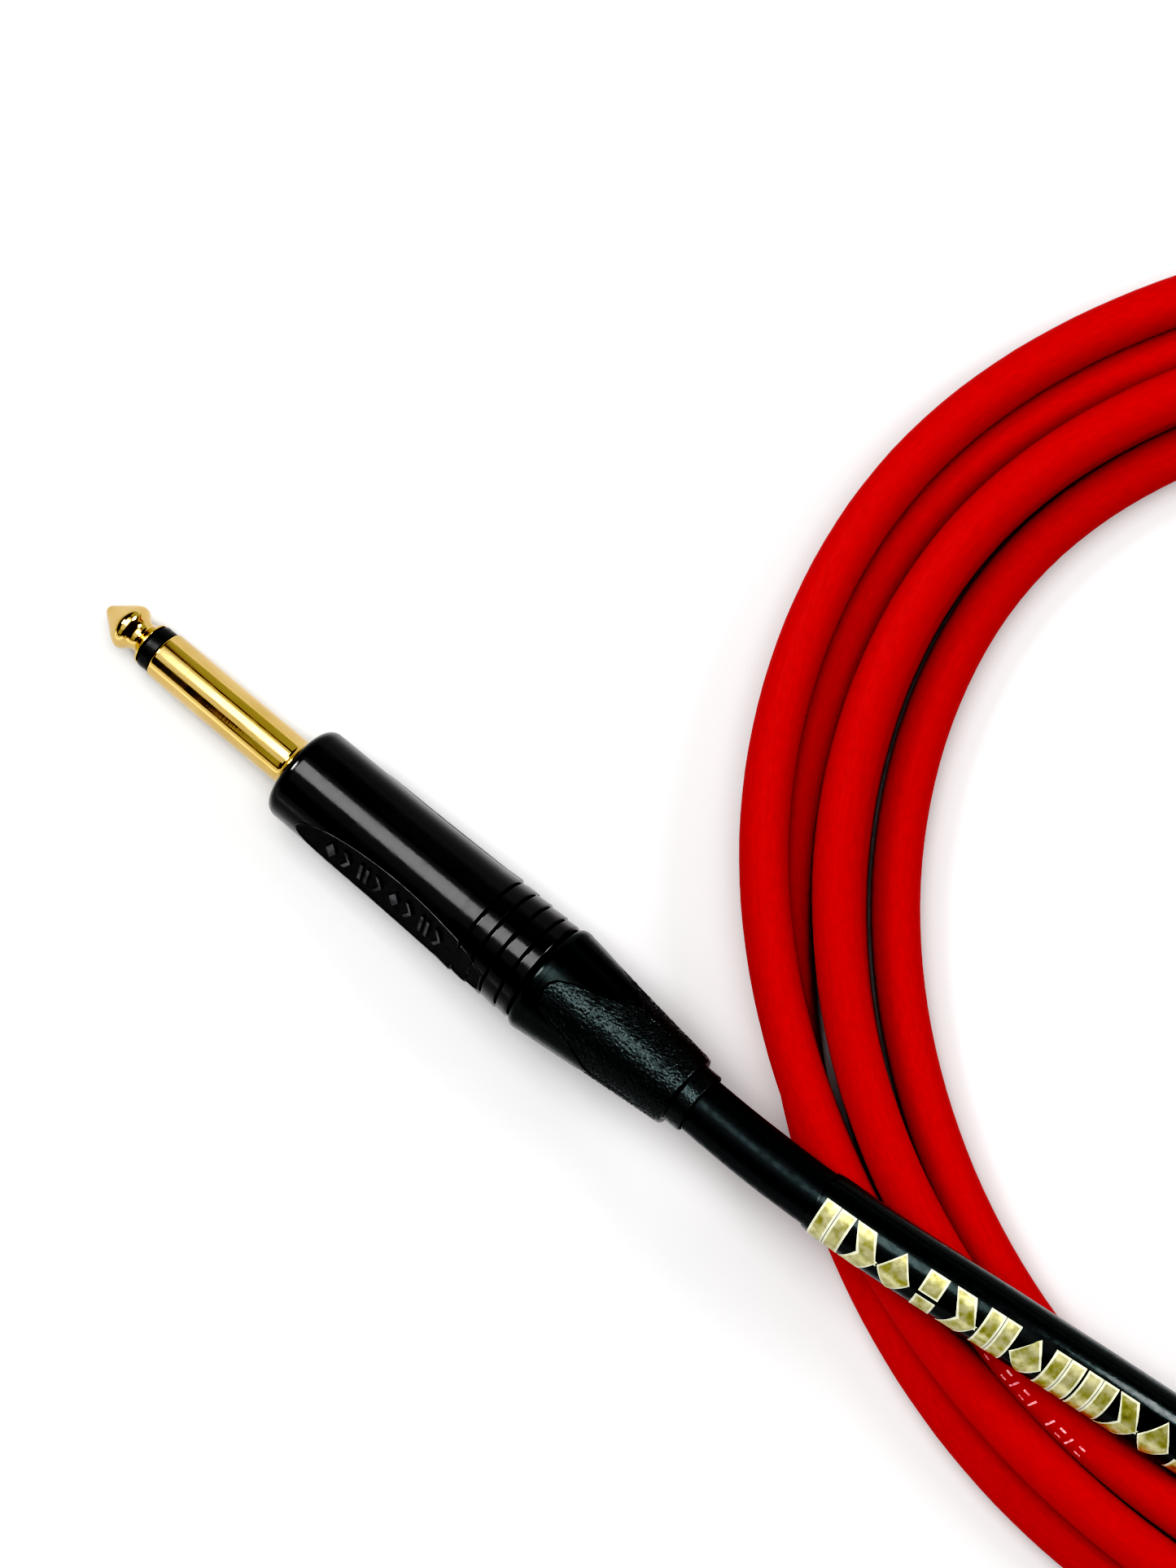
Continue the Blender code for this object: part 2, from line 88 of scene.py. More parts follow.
def plug_matrix(side):
    """A plug's own frame in the row frame: its mouth and axis are those of its boot's joint."""
    turning = joint("boot_turn" + side)
    tilt = math.asin(turning["axis"][2])
    return (Matrix.Translation(turning["pos_m"]) @ Matrix.Rotation(-tilt, 4, "Y")
            @ Matrix.Rotation(math.radians(PLUG_ROLL[side]), 4, "X"))


NEAR_MIDDLE = -joint("boot_turn_a")["pos_m"][0] / MM

# ---- the cable's route ----
# The coil: one turn is a soft oval about its centre, with the innermost strand's radius every
# 30 degrees from the bottom, and each pass lies (outwards, upwards) from there.
COIL_CENTRE = (121.5, 75.0)
COIL_STEP = 30
COIL_START = -90
INNER_RADIUS = (72.5, 78.5, 82.5, 83.0, 79.5, 74.0, 68.5, 65.5, 66.0, 69.8, 69.5, 69.2)
PASSES = (
    (None, None, (-7.0, 3.3), (-6.2, 3.1), (-5.0, 3.0), (-3.0, 3.0),
     (-1.0, 3.0), (0.0, 3.0), (0.0, 3.0), (0.0, 3.0), (0.0, 3.0), (0.0, 3.0)),
    ((0.0, 3.0), (0.0, 3.0), (0.0, 3.0), (0.4, 3.0), (1.4, 3.0), (3.4, 3.0),
     (5.2, 3.0), (5.7, 3.0), (5.7, 3.0), (6.2, 3.0), (6.4, 3.0), (6.4, 3.0)),
    ((6.6, 3.0), (6.6, 3.0), (6.4, 3.0), (6.6, 3.2), (7.6, 4.0), (8.4, 6.0),
     (6.9, 8.4), (5.9, 8.6), (5.7, 8.6), (6.5, 8.6), (7.1, 8.6), (6.0, 8.4)),
    ((3.6, 8.3), (3.4, 8.2), (9.0, 8.4), (12.6, 5.2), (13.6, 3.2), (13.4, 3.0),
     (12.2, 3.0), (11.5, 3.0), (11.4, 3.0), (12.4, 3.0), (12.7, 3.0), (13.8, 3.0)),
    ((14.4, 3.0), (13.6, 3.0), (14.2, 3.0), (18.6, 3.4), (19.4, 4.0), (18.9, 5.4),
     (17.4, 6.2), (16.4, 6.8), (16.6, 6.4), (17.5, 6.6), (16.4, 7.7), (12.4, 8.4)),
    ((9.5, 8.4), (10.6, 8.4), (18.2, 8.2), (25.4, 4.6), (27.0, 4.25), (27.4, 4.4)),
)
NEAR_ROUTE = ((80.0, 0.4, 15.4), (89.0, 1.1, 16.2), (98.0, 2.1, 16.3), (107.0, 3.2, 15.6),
              (115.0, 4.1, 14.6), (123.0, 5.0, 13.3), (133.9, 6.3, 10.7), (145.2, 9.3, 7.8),
              (156.1, 14.1, 5.5), (166.0, 20.6, 4.3))
FAR_ROUTE = ((150.0, 172.0, 5.6), (136.0, 174.8, 7.2))
CORD_RING = 2.6             # between the cord's rings, along it
CORD_SIDES = 28


def catmull_rom(a, b, c, d, t):
    return 0.5 * (2 * b + (c - a) * t + (2 * a - 5 * b + 4 * c - d) * t ** 2
                  + (3 * b - a - 3 * c + d) * t ** 3)


def coil_point(degrees, outwards, upwards):
    turn = (degrees - COIL_START) / COIL_STEP
    count = len(INNER_RADIUS)
    stops = [INNER_RADIUS[(int(math.floor(turn)) + k) % count] for k in (-1, 0, 1, 2)]
    radius = catmull_rom(*stops, turn - math.floor(turn)) + outwards
    angle = math.radians(degrees)
    return (COIL_CENTRE[0] - NEAR_MIDDLE + radius * math.cos(angle),
            COIL_CENTRE[1] + radius * math.sin(angle), upwards)


def on_axis(side, first, last):
    matrix = plug_matrix(side)
    count = int(round(abs(last - first) / 10.0))
    return [tuple(matrix @ Vector((s * MM, 0.0, 0.0)) / MM) for s in np.linspace(first, last, count + 1)]


def route_points():
    """The route's own points, from inside the near plug, round the coil, to the far plug."""
    coil = [coil_point(COIL_START + 360 * number + COIL_STEP * k, *place)
            for number, lane in enumerate(PASSES) for k, place in enumerate(lane) if place]
    free = [[(x - NEAR_MIDDLE, y, z) for x, y, z in run] for run in (NEAR_ROUTE, FAR_ROUTE)]
    near = on_axis("_a", JACKET_START, STRAIGHT_END)
    far = on_axis("_b", STRAIGHT_END, JACKET_START)
    return np.array(near + free[0] + coil + free[1] + far)


def natural_spline(points, samples=12):
    """A smooth curve through the points, with a natural cubic over their chord lengths."""
    chords = np.linalg.norm(np.diff(points, axis=0), axis=1)
    count = len(points)
    system = np.eye(count)
    right = np.zeros_like(points)
    for i in range(1, count - 1):
        before, after = chords[i - 1], chords[i]
        system[i, i - 1:i + 2] = (before, 2 * (before + after), after)
        right[i] = 6 * ((points[i + 1] - points[i]) / after - (points[i] - points[i - 1]) / before)
    bend = np.linalg.solve(system, right)
    fine = []
    for i in range(count - 1):
        width = chords[i]
        for t in np.linspace(0.0, 1.0, samples, endpoint=False):
            a, b = 1 - t, t
            fine.append(a * points[i] + b * points[i + 1]
                        + width ** 2 / 6 * ((a ** 3 - a) * bend[i] + (b ** 3 - b) * bend[i + 1]))
    fine.append(points[-1])
    return np.array(fine)


class Route:
    """The cable's centreline, with a frame that is carried along it without twisting."""

    def __init__(self):
        line = natural_spline(route_points())
        steps = np.linalg.norm(np.diff(line, axis=0), axis=1)
        at = np.concatenate([[0.0], np.cumsum(steps)])
        self.length = at[-1]
        count = int(self.length / CORD_RING) + 1
        self.at = np.linspace(0.0, self.length, count)
        self.line = np.column_stack([np.interp(self.at, at, line[:, k]) for k in range(3)])
        along = np.gradient(self.line, axis=0)
        self.along = along / np.linalg.norm(along, axis=1)[:, None]
        upward = np.array([0.0, 0.0, 1.0])
        ups = []
        for way in self.along:
            upward = upward - way * (upward @ way)
            upward = upward / np.linalg.norm(upward)
            ups.append(upward)
        self.up = np.array(ups)

    def frame_at(self, distance, far=False):
        """Place, direction, up and side at distances from the near or the far stripped end."""
        distance = np.asarray(distance, float)
        where = self.length - distance if far else distance
        place, along, up = (np.stack([np.interp(where, self.at, v[:, k]) for k in range(3)], -1)
                            for v in (self.line, self.along, self.up))
        if far:
            along = -along
        up = up - along * np.sum(up * along, -1, keepdims=True)
        up = up / np.linalg.norm(up, axis=-1, keepdims=True)
        return place, along, up, np.cross(up, along)


route = Route()


# ---- the camera, first because the cord is measured against its view ----
CAMERA_AIM = (11.714, 20.849)   # where its axis meets the table
CAMERA_DISTANCE = 450.0
CAMERA_TILT = 5.685             # degrees from straight down, towards +X
CAMERA_TURN = 39.551            # degrees of the picture's width from +X
CAMERA_LENS = 84.135
CAMERA_SENSOR = 36.0


def add_camera():
    """The photo's view: almost straight down, turned in the picture's plane."""
    tilt, turn = math.radians(CAMERA_TILT), math.radians(CAMERA_TURN)
    back = Vector((math.sin(tilt), 0.0, math.cos(tilt)))
    up = Vector((-math.sin(turn), math.cos(turn), 0.0))
    up = (up - back * up.dot(back)).normalized()
    right = up.cross(back)
    camera = bpy.data.objects.new("camera", bpy.data.cameras.new("camera"))
    bpy.context.scene.collection.objects.link(camera)
    place = Matrix((right, up, back)).transposed().to_4x4()
    place.translation = (Vector((*CAMERA_AIM, 0.0)) + back * CAMERA_DISTANCE) * MM
    camera.matrix_world = place
    camera.data.sensor_width = CAMERA_SENSOR
    camera.data.lens = CAMERA_LENS
    camera.data.clip_start = 0.01
    bpy.context.scene.camera = camera


# ---- mesh helpers ----
def skin(name, rings, closed=False, caps=False, smooth_angle=SMOOTH):
    """Quads over an array of rings (ring, point, xyz) in millimetres.  closed joins the last
    ring to the first, and caps closes the two ends."""
    rings = np.asarray(rings, float)
    count, sides, _ = rings.shape
    ring = np.arange(count if closed else count - 1)[:, None]
    point = np.arange(sides)[None, :]
    following, beside = (ring + 1) % count, (point + 1) % sides
    corners = (ring * sides + point, ring * sides + beside,
               following * sides + beside, following * sides + point)
    faces = np.stack([np.broadcast_to(c, (len(ring), sides)) for c in corners], -1)
    faces = faces.reshape(-1, 4).tolist()
    if caps:
        faces.append(list(range(sides))[::-1])
        faces.append(list(range((count - 1) * sides, count * sides)))
    return finished_mesh(name, rings.reshape(-1, 3), faces, smooth_angle)


def finished_mesh(name, points, faces, smooth_angle=SMOOTH):
    """A mesh from points in millimetres: doubles merged, faces pointing out, smooth between edges."""
    mesh = bpy.data.meshes.new(name)
    mesh.from_pydata((np.asarray(points) * MM).tolist(), [], faces)
    bm = bmesh.new()
    bm.from_mesh(mesh)
    bmesh.ops.remove_doubles(bm, verts=bm.verts, dist=WELD)
    bmesh.ops.recalc_face_normals(bm, faces=bm.faces[:])
    bm.to_mesh(mesh)
    bm.free()
    mesh.shade_smooth()
    mesh.set_sharp_from_angle(angle=math.radians(smooth_angle))
    return mesh


def rounded(corners, steps=5, closed=True):
    """A profile through (s, r, corner radius) with its corners rounded."""
    points = []
    count = len(corners)
    for i, (s, r, radius) in enumerate(corners):
        here = np.array((s, r))
        if radius == 0.0 or (not closed and i in (0, count - 1)):
            points.append(here)
            continue
        before = np.array(corners[i - 1][:2]) - here
        after = np.array(corners[(i + 1) % count][:2]) - here
        reach = [min(radius, 0.48 * np.linalg.norm(v)) for v in (before, after)]
        first = here + before / np.linalg.norm(before) * reach[0]
        last = here + after / np.linalg.norm(after) * reach[1]
        for t in np.linspace(0.0, 1.0, steps):
            points.append((1 - t) ** 2 * first + 2 * t * (1 - t) * here + t * t * last)
    return np.array(points)


def turned(name, profile, sides=72):
    """A piece turned about the plug's axis, from a closed (s, r) profile.  A profile that
    starts and ends on the axis is solid."""
    angles = 2 * math.pi * np.arange(sides) / sides
    s, r = profile[:, 0][:, None], profile[:, 1][:, None]
    rings = np.stack([s + 0 * angles, r * np.sin(angles), r * np.cos(angles)], -1)
    solid = profile[0][1] == 0.0
    return skin(name, rings, closed=not solid)


def wrapped(name, s, r, degrees, smooth_angle=SMOOTH):
    """A piece round the plug's axis whose profile changes with the angle: s and r are arrays
    (row, angle), and the rows run round a closed profile."""
    turn = np.radians(degrees)[None, :]
    rings = np.stack([s + 0 * turn, r * np.sin(turn), r * np.cos(turn)], -1)
    return skin(name, rings, closed=True, smooth_angle=smooth_angle)


def show(name, mesh, finish, slot, body, node=None, matrix=None):
    """Put a mesh in the scene: in place, with its finish, on its body, for its CAD nodes."""
    piece = bpy.data.objects.new(name, mesh)
    bpy.context.scene.collection.objects.link(piece)
    if not mesh.materials:
        mesh.materials.append(finish)
    if matrix is not None:
        piece.matrix_world = matrix
    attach(piece, body)
    if node:
        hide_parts(*([node] if isinstance(node, str) else node))
    return piece


def relief(name, quads, place, low, high, cell):
    """Raised marks on a surface.  Each mark is four corners (u, v), cut into cells, and
    place(u, v, height) puts its top at high and its underside at low."""
    points, faces = [], []
    for corners in quads:
        a, b, c, d = (np.array(p, float) for p in corners)
        across = max(1, int(math.ceil(max(np.linalg.norm(b - a), np.linalg.norm(c - d)) / cell)))
        down = max(1, int(math.ceil(max(np.linalg.norm(d - a), np.linalg.norm(c - b)) / cell)))
        i, j = np.meshgrid(np.linspace(0, 1, across + 1), np.linspace(0, 1, down + 1), indexing="ij")
        i, j = i[..., None], j[..., None]
        flat = (a * (1 - i) + b * i) * (1 - j) + (d * (1 - i) + c * i) * j
        start = sum(len(p) for p in points)
        size = (across + 1) * (down + 1)
        for height in (low, high):
            points.append(place(flat[..., 0].ravel(), flat[..., 1].ravel(), height))

        def at(p, q, layer):
            return start + layer * size + p * (down + 1) + q

        for p in range(across):
            for q in range(down):
                for layer in (0, 1):
                    faces.append([at(p, q, layer), at(p + 1, q, layer),
                                  at(p + 1, q + 1, layer), at(p, q + 1, layer)])
        edge = ([(p, 0) for p in range(across)] + [(across, q) for q in range(down)]
                + [(p, down) for p in range(across, 0, -1)] + [(0, q) for q in range(down, 0, -1)])
        for one, two in zip(edge, edge[1:] + edge[:1]):
            faces.append([at(*one, 0), at(*two, 0), at(*two, 1), at(*one, 1)])
    return finished_mesh(name, np.concatenate(points), faces)


# ---- materials ----
COOL_SHEEN = (0.90, 1.0, 1.0)
EVEN = (1, 1, 1)            # noise that isn't stretched


def ramp(tree, value, stops):
    """Colours, or greys, along a value: ((position, colour or grey), ...)."""
    node = tree.nodes.new("ShaderNodeValToRGB")
    elements = node.color_ramp.elements
    while len(elements) < len(stops):
        elements.new(1.0)
    for element, (position, colour) in zip(elements, stops):
        element.position = position
        element.color = (*colour, 1.0) if isinstance(colour, tuple) else (colour,) * 3 + (1.0,)
    tree.links.new(value, node.inputs["Fac"])
    return node.outputs["Color"]


class Finish:
    """A Principled material and the ways to vary it by noise."""

    def __init__(self, name, colour, roughness, metallic=0.0, specular=0.5):
        self.material = bpy.data.materials.new(name)
        self.material.use_nodes = True
        self.nodes = self.material.node_tree.nodes
        self.links = self.material.node_tree.links
        self.shader = self.nodes["Principled BSDF"]
        self.shader.inputs["Base Color"].default_value = (*colour, 1.0)
        self.shader.inputs["Roughness"].default_value = roughness
        self.shader.inputs["Metallic"].default_value = metallic
        self.shader.inputs["Specular IOR Level"].default_value = specular
        self.height = None

    def field(self, scale, detail, stretch=EVEN, uv=False, roughness=0.5):
        """Noise in the object's own space, or along (x) and round (y) a cable by its UV."""
        space = self.nodes.new("ShaderNodeTexCoord")
        mapping = self.nodes.new("ShaderNodeMapping")
        mapping.inputs["Scale"].default_value = stretch
        self.links.new(space.outputs["UV" if uv else "Object"], mapping.inputs["Vector"])
        field = self.nodes.new("ShaderNodeTexNoise")
        field.inputs["Scale"].default_value = scale
        field.inputs["Detail"].default_value = detail
        field.inputs["Roughness"].default_value = roughness
        self.links.new(mapping.outputs["Vector"], field.inputs["Vector"])
        return field.outputs["Fac"]

    def ramp(self, value, stops):
        return ramp(self.material.node_tree, value, stops)

    def colour(self, value, stops):
        self.links.new(self.ramp(value, stops), self.shader.inputs["Base Color"])

    def rough(self, value, stops):
        self.links.new(self.ramp(value, stops), self.shader.inputs["Roughness"])

    def blend_colour(self, first, second, share):
        mix = self.nodes.new("ShaderNodeMix")
        mix.data_type = "RGBA"
        self.links.new(share, mix.inputs["Factor"])
        self.links.new(first, mix.inputs[6])
        self.links.new(second, mix.inputs[7])
        self.links.new(mix.outputs[2], self.shader.inputs["Base Color"])

    def tint(self, colour):
        self.shader.inputs["Specular Tint"].default_value = (*colour, 1.0)

    def bump(self, value, depth):
        """Add a bump of that depth in metres, over any earlier one."""
        bump = self.nodes.new("ShaderNodeBump")
        bump.inputs["Strength"].default_value = 1.0
        bump.inputs["Distance"].default_value = depth
        self.links.new(value, bump.inputs["Height"])
        if self.height:
            self.links.new(self.height, bump.inputs["Normal"])
        self.height = bump.outputs["Normal"]
        self.links.new(self.height, self.shader.inputs["Normal"])


def finish(name, base, roughness, colours, rough, bump=None, metallic=0.0, specular=0.5, cool=False,
           uv=False):
    """A finish varied by noise.  colours and rough are (scale, detail, stretch, stops), and bump
    is (scale, detail, stretch, depth in metres)."""
    made = Finish(name, base, roughness, metallic, specular)
    if cool:
        made.tint(COOL_SHEEN)
    made.colour(made.field(*colours[:3], uv), colours[3])
    made.rough(made.field(*rough[:3], uv), rough[3])
    if bump:
        made.bump(made.field(*bump[:3], uv), bump[3])
    return made.material


def print_finish(name, low, high, roughness, metallic):
    """Gold ink: an uneven metallic film with a fine grain."""
    return finish(name, high, roughness, (900.0, 5.0, EVEN, ((0.3, low), (0.65, high))),
                  (1500.0, 3.0, EVEN, ((0.3, roughness - 0.08), (0.7, roughness + 0.1))),
                  (2600.0, 3.0, EVEN, 0.00001), metallic=metallic)


def wire_finish(name, colour, pale):
    """Stranded metal: twisted ridges round the wire's own axis."""
    return finish(name, colour, 0.32, (1200.0, 3.0, (0.3, 1, 1), ((0.3, colour), (0.7, pale))),
                  (1500.0, 3.0, EVEN, ((0.3, 0.22), (0.7, 0.42))),
                  (1400.0, 2.0, (0.4, 1.4, 1.4), 0.00008), metallic=1.0)


def plastic_finish(name, dark, pale, roughness):
    """Moulded plastic with a fine even grain."""
    return finish(name, dark, roughness, (400.0, 4.0, EVEN, ((0.3, dark), (0.7, pale))),
                  (900.0, 3.0, EVEN, ((0.3, roughness - 0.1), (0.7, roughness + 0.1))),
                  (1800.0, 3.0, EVEN, 0.00001))


def jacket_finish():
    """Red PVC: a soft satin skin with faint mottling, extrusion lines and a few pale scuffs."""
    made = Finish("red cable jacket", (0.52, 0.003, 0.004), 0.5, specular=0.16)
    mottle = made.ramp(made.field(30.0, 4.0, (22, 1.2, 1), True),
                       ((0.3, (0.34, 0.0022, 0.003)), (0.7, (0.40, 0.0035, 0.004))))
    scuffs = made.ramp(made.field(26.0, 6.0, (14, 3.0, 1), True, 0.72),
                       ((0.0, 0.0), (0.655, 0.0), (0.74, 0.55)))
    pale = made.ramp(scuffs, ((0.0, (0.78, 0.10, 0.13)), (1.0, (0.85, 0.22, 0.26))))
    made.blend_colour(mottle, pale, scuffs)
    made.rough(made.field(30.0, 5.0, (30, 2.5, 1), True), ((0.3, 0.40), (0.7, 0.58)))
    made.bump(made.field(8.0, 3.0, (6, 14, 1), True), 0.00003)
    made.bump(made.field(3000.0, 2.0), 0.000010)
    return made.material


# Bright plating over turned brass, with fine rings round the axis and a few soft stains.
GOLD = finish("gold plating", (0.84, 0.59, 0.17), 0.15,
              (260.0, 4.0, (0.5, 1, 1),
               ((0.3, (0.55, 0.39, 0.13)), (0.5, (0.63, 0.45, 0.17)), (0.75, (0.69, 0.51, 0.22)))),
              (500.0, 3.0, (1, 0.4, 0.4), ((0.3, 0.07), (0.7, 0.18))),
              (900.0, 2.0, (4, 0.05, 0.05), 0.000004), metallic=1.0)
# Satin black coating with a little orange peel, duller inside the facets.
SHELL = finish("black coated shell", (0.006, 0.006, 0.006), 0.2,
               (120.0, 4.0, EVEN, ((0.3, 0.004), (0.7, 0.009))),
               (700.0, 3.0, EVEN, ((0.3, 0.15), (0.7, 0.24))),
               (2400.0, 2.0, EVEN, 0.000006), specular=0.56)
RECESS = finish("black coated recess", (0.004, 0.004, 0.004), 0.42,
                (300.0, 4.0, EVEN, ((0.3, 0.003), (0.7, 0.007))),
                (900.0, 3.0, EVEN, ((0.3, 0.34), (0.7, 0.5))),
                (2400.0, 2.0, EVEN, 0.000008), specular=0.22)
# Edges of the facets and their marks: a lighter grey base colour, a painted highlight along each edge line.
EDGE_HIGHLIGHT = finish("black edge with painted highlight", (0.03, 0.03, 0.03), 0.3,
              (700.0, 4.0, EVEN, ((0.35, 0.012), (0.65, (0.055, 0.055, 0.058)))),
              (900.0, 3.0, EVEN, ((0.3, 0.22), (0.7, 0.4))), specular=0.45)
# Smooth semi-gloss plastic, and matt rubber whose coarse grain is in its mesh.
CROWN = finish("black moulded plastic", (0.006, 0.007, 0.007), 0.27,
               (200.0, 4.0, EVEN, ((0.3, (0.004, 0.005, 0.005)), (0.7, (0.008, 0.010, 0.010)))),
               (900.0, 3.0, EVEN, ((0.3, 0.21), (0.7, 0.33))),
               (1800.0, 2.0, EVEN, 0.000006), specular=0.34, cool=True)
RUBBER = finish("black grained rubber", (0.006, 0.007, 0.007), 0.4,
                (2600.0, 3.0, EVEN, ((0.3, (0.004, 0.005, 0.005)), (0.7, (0.011, 0.012, 0.013)))),
                (3200.0, 2.0, EVEN, ((0.3, 0.14), (0.7, 0.42))),
                (3600.0, 2.0, EVEN, 0.00007), specular=0.50, cool=True)
RING = finish("black insulator ring", (0.007, 0.007, 0.007), 0.3,
              (500.0, 3.0, EVEN, ((0.3, 0.004), (0.7, 0.011))),
              (900.0, 3.0, (4, 0.3, 0.3), ((0.3, 0.28), (0.7, 0.46))),
              (1500.0, 2.0, (4, 0.2, 0.2), 0.000005))
# Shrunk tube with a soft sheen and faint ripples, and the glossier clear film over it.
SHRINK = finish("black heat-shrink", (0.006, 0.007, 0.008), 0.36,
                (60.0, 4.0, (40, 3, 1), ((0.3, (0.004, 0.005, 0.006)), (0.7, (0.008, 0.010, 0.011)))),
                (9.0, 4.0, (120, 4, 1), ((0.3, 0.30), (0.7, 0.44))),
                (6.0, 3.0, (90, 3, 1), 0.00004), specular=0.36, cool=True, uv=True)
FILM = finish("clear film over black", (0.006, 0.007, 0.007), 0.24,
              (50.0, 4.0, (40, 3, 1), ((0.3, (0.004, 0.005, 0.005)), (0.7, (0.009, 0.011, 0.011)))),
              (9.0, 4.0, (120, 4, 1), ((0.3, 0.16), (0.7, 0.32))),
              (5.0, 3.0, (70, 3, 1), 0.00003), specular=0.42, cool=True, uv=True)
INK = print_finish("gold ink", (0.24, 0.225, 0.06), (0.56, 0.53, 0.28), 0.36, 0.7)
INK_EDGE = print_finish("pale ink edge", (0.52, 0.52, 0.36), (0.70, 0.70, 0.54), 0.45, 0.1)
JACKET = jacket_finish()
MARKS = finish("pale jacket marks", (0.80, 0.36, 0.38), 0.5,
               (2600.0, 4.0, EVEN, ((0.35, (0.62, 0.12, 0.14)), (0.6, (0.86, 0.46, 0.48)))),
               (3000.0, 2.0, EVEN, ((0.3, 0.4), (0.7, 0.6))), specular=0.3)
CARRIED = {
    "tinned_metal": wire_finish("tinned lug", (0.62, 0.60, 0.56), (0.80, 0.79, 0.75)),
    "copper": wire_finish("copper strands", (0.55, 0.24, 0.12), (0.80, 0.44, 0.27)),
    "grey_plastic": plastic_finish("grey moulded plastic", (0.07, 0.07, 0.075), (0.12, 0.12, 0.125), 0.5),
    "clear_liner": plastic_finish("natural plastic liner", (0.62, 0.64, 0.65), (0.78, 0.80, 0.81), 0.35),
    "white_core": plastic_finish("white core insulation", (0.74, 0.73, 0.69), (0.86, 0.85, 0.81), 0.45),
}


# ---- the plug ----
def tip_mesh():
    """Blunt-pointed cone, round shoulder and waist, on the rod that runs back to its lug."""
    neck = RING_FRONT - 0.3
    outside = rounded(((TIP_S, 0.0, 0.0), (TIP_S, 0.45, 0.5), (-28.75, 3.0, 1.1), (-27.75, 3.12, 0.8),
                       (-26.7, 2.02, 0.7), (-25.7, 1.98, 0.8), (neck - 0.25, 2.85, 0.35),
                       (neck, 2.87, 0.12), (neck, 1.2, 0.0), (13.4, 1.2, 0.2), (13.4, 0.0, 0.0)),
                      steps=8, closed=False)
    return turned("tip", outside, 64)


def ring_mesh():
    profile = rounded(((RING_FRONT, 1.5, 0.0), (RING_FRONT, 2.95, 0.12), (RING_BACK, 2.95, 0.12),
                       (RING_BACK, 2.1, 0.0), (4.0, 2.1, 0.0), (4.0, 1.5, 0.0)))
    return turned("ring", profile, 64)


def sleeve_mesh():
    """Sleeve with a concave fillet up to its flange, and the collar inside the shell."""
    front = RING_BACK + 0.12
    profile = rounded(((front, 2.4, 0.0), (front, SLEEVE_R, 0.3), (-1.9, SLEEVE_R, 0.0),
                       (-0.75, SLEEVE_R, 1.1), (-0.55, 4.15, 0.7), (-0.15, 4.15, 0.15),
                       (-0.15, 4.1, 0.0), (8.0, 4.1, 0.3), (8.0, 2.4, 0.0)), steps=8)
    return turned("sleeve", profile, 72)


FACET_MIDDLE = 19.0
NO_FACET = 99.0             # stands for a radius where no facet cuts
FACET_DEPTH = 1.15
FACET_ANGLES = (-57.0, 123.0)
FACET_CUTTER = (31.5, 40.0, 10.0)       # half axes along the plug, across it and outwards
SHELL_COLUMNS = 288
SHELL_ROW = 0.22
GRIP_ROW = 0.07
SHELL_FACE = 6.5            # radius that the facets' depth is measured from
BARREL = ((1.4, 15.0, 28.0, 29.2), (6.35, 6.45, 6.72, 6.72))
MOUTH_ROUND = 1.4
BACK_ROUND = 0.45
GRIP_STEP = 2.3
GRIP_TOOTH = (6.74, 0.17)   # a ring's radius at its front, and its rise to the back
GROOVE = (0.40, 0.15)       # depth and half width
RING_LIP = (0.12, 1.6)      # length and slope of a ring's back edge
BORE_MOUTH = ((3.0, SHELL_BORE), (3.0, 4.4), (0.0, 4.4))


def barrel_radius(s):
    """The shell's outside before its facets: a rounded mouth, a slight flare and shallow
    saw-tooth grip rings with a narrow groove before each."""
    s = np.asarray(s, float)
    r = np.interp(s, *BARREL)
    front = np.clip(MOUTH_ROUND - s, 0.0, MOUTH_ROUND)
    r = r - (MOUTH_ROUND - np.sqrt(MOUTH_ROUND ** 2 - front ** 2)) * 0.86
    rings = (GRIP_GROOVES[0] - GRIP_STEP,) + GRIP_GROOVES + (SHELL_END + 0.2,)
    for start, end in zip(rings, rings[1:]):
        inside = (s >= start) & (s < end)
        share = np.clip((s - start) / (end - start), 0.0, 1.0)
        tooth = GRIP_TOOTH[0] + GRIP_TOOTH[1] * share
        groove = GROOVE[0] * np.exp(-((s - start) / GROOVE[1]) ** 2) * (start >= GRIP_GROOVES[0])
        lip = np.where(end - s < RING_LIP[0], (RING_LIP[0] - (end - s)) * RING_LIP[1], 0.0)
        r = np.where(inside, tooth - groove - lip, r)
    back = np.clip(s - (SHELL_END - BACK_ROUND), 0.0, BACK_ROUND)
    return r - (BACK_ROUND - np.sqrt(BACK_ROUND ** 2 - back ** 2))


def facet_radius(s, degrees):
    """How far out a facet's hollow is: where a ray from the axis enters the cutter."""
    across, outwards = np.sin(np.radians(degrees)), np.cos(np.radians(degrees))
    long, wide, deep = FACET_CUTTER
    lift = SHELL_FACE - FACET_DEPTH + deep
    a = (across / wide) ** 2 + (outwards / deep) ** 2
    b = -2 * lift * outwards / deep ** 2
    c = ((s - FACET_MIDDLE) / long) ** 2 + (lift / deep) ** 2 - 1
    inside = b * b - 4 * a * c
    found = (-b - np.sqrt(np.clip(inside, 0, None))) / (2 * a)
    return np.where((inside > 0) & (outwards > 0.2) & (found > 0), found, NO_FACET)


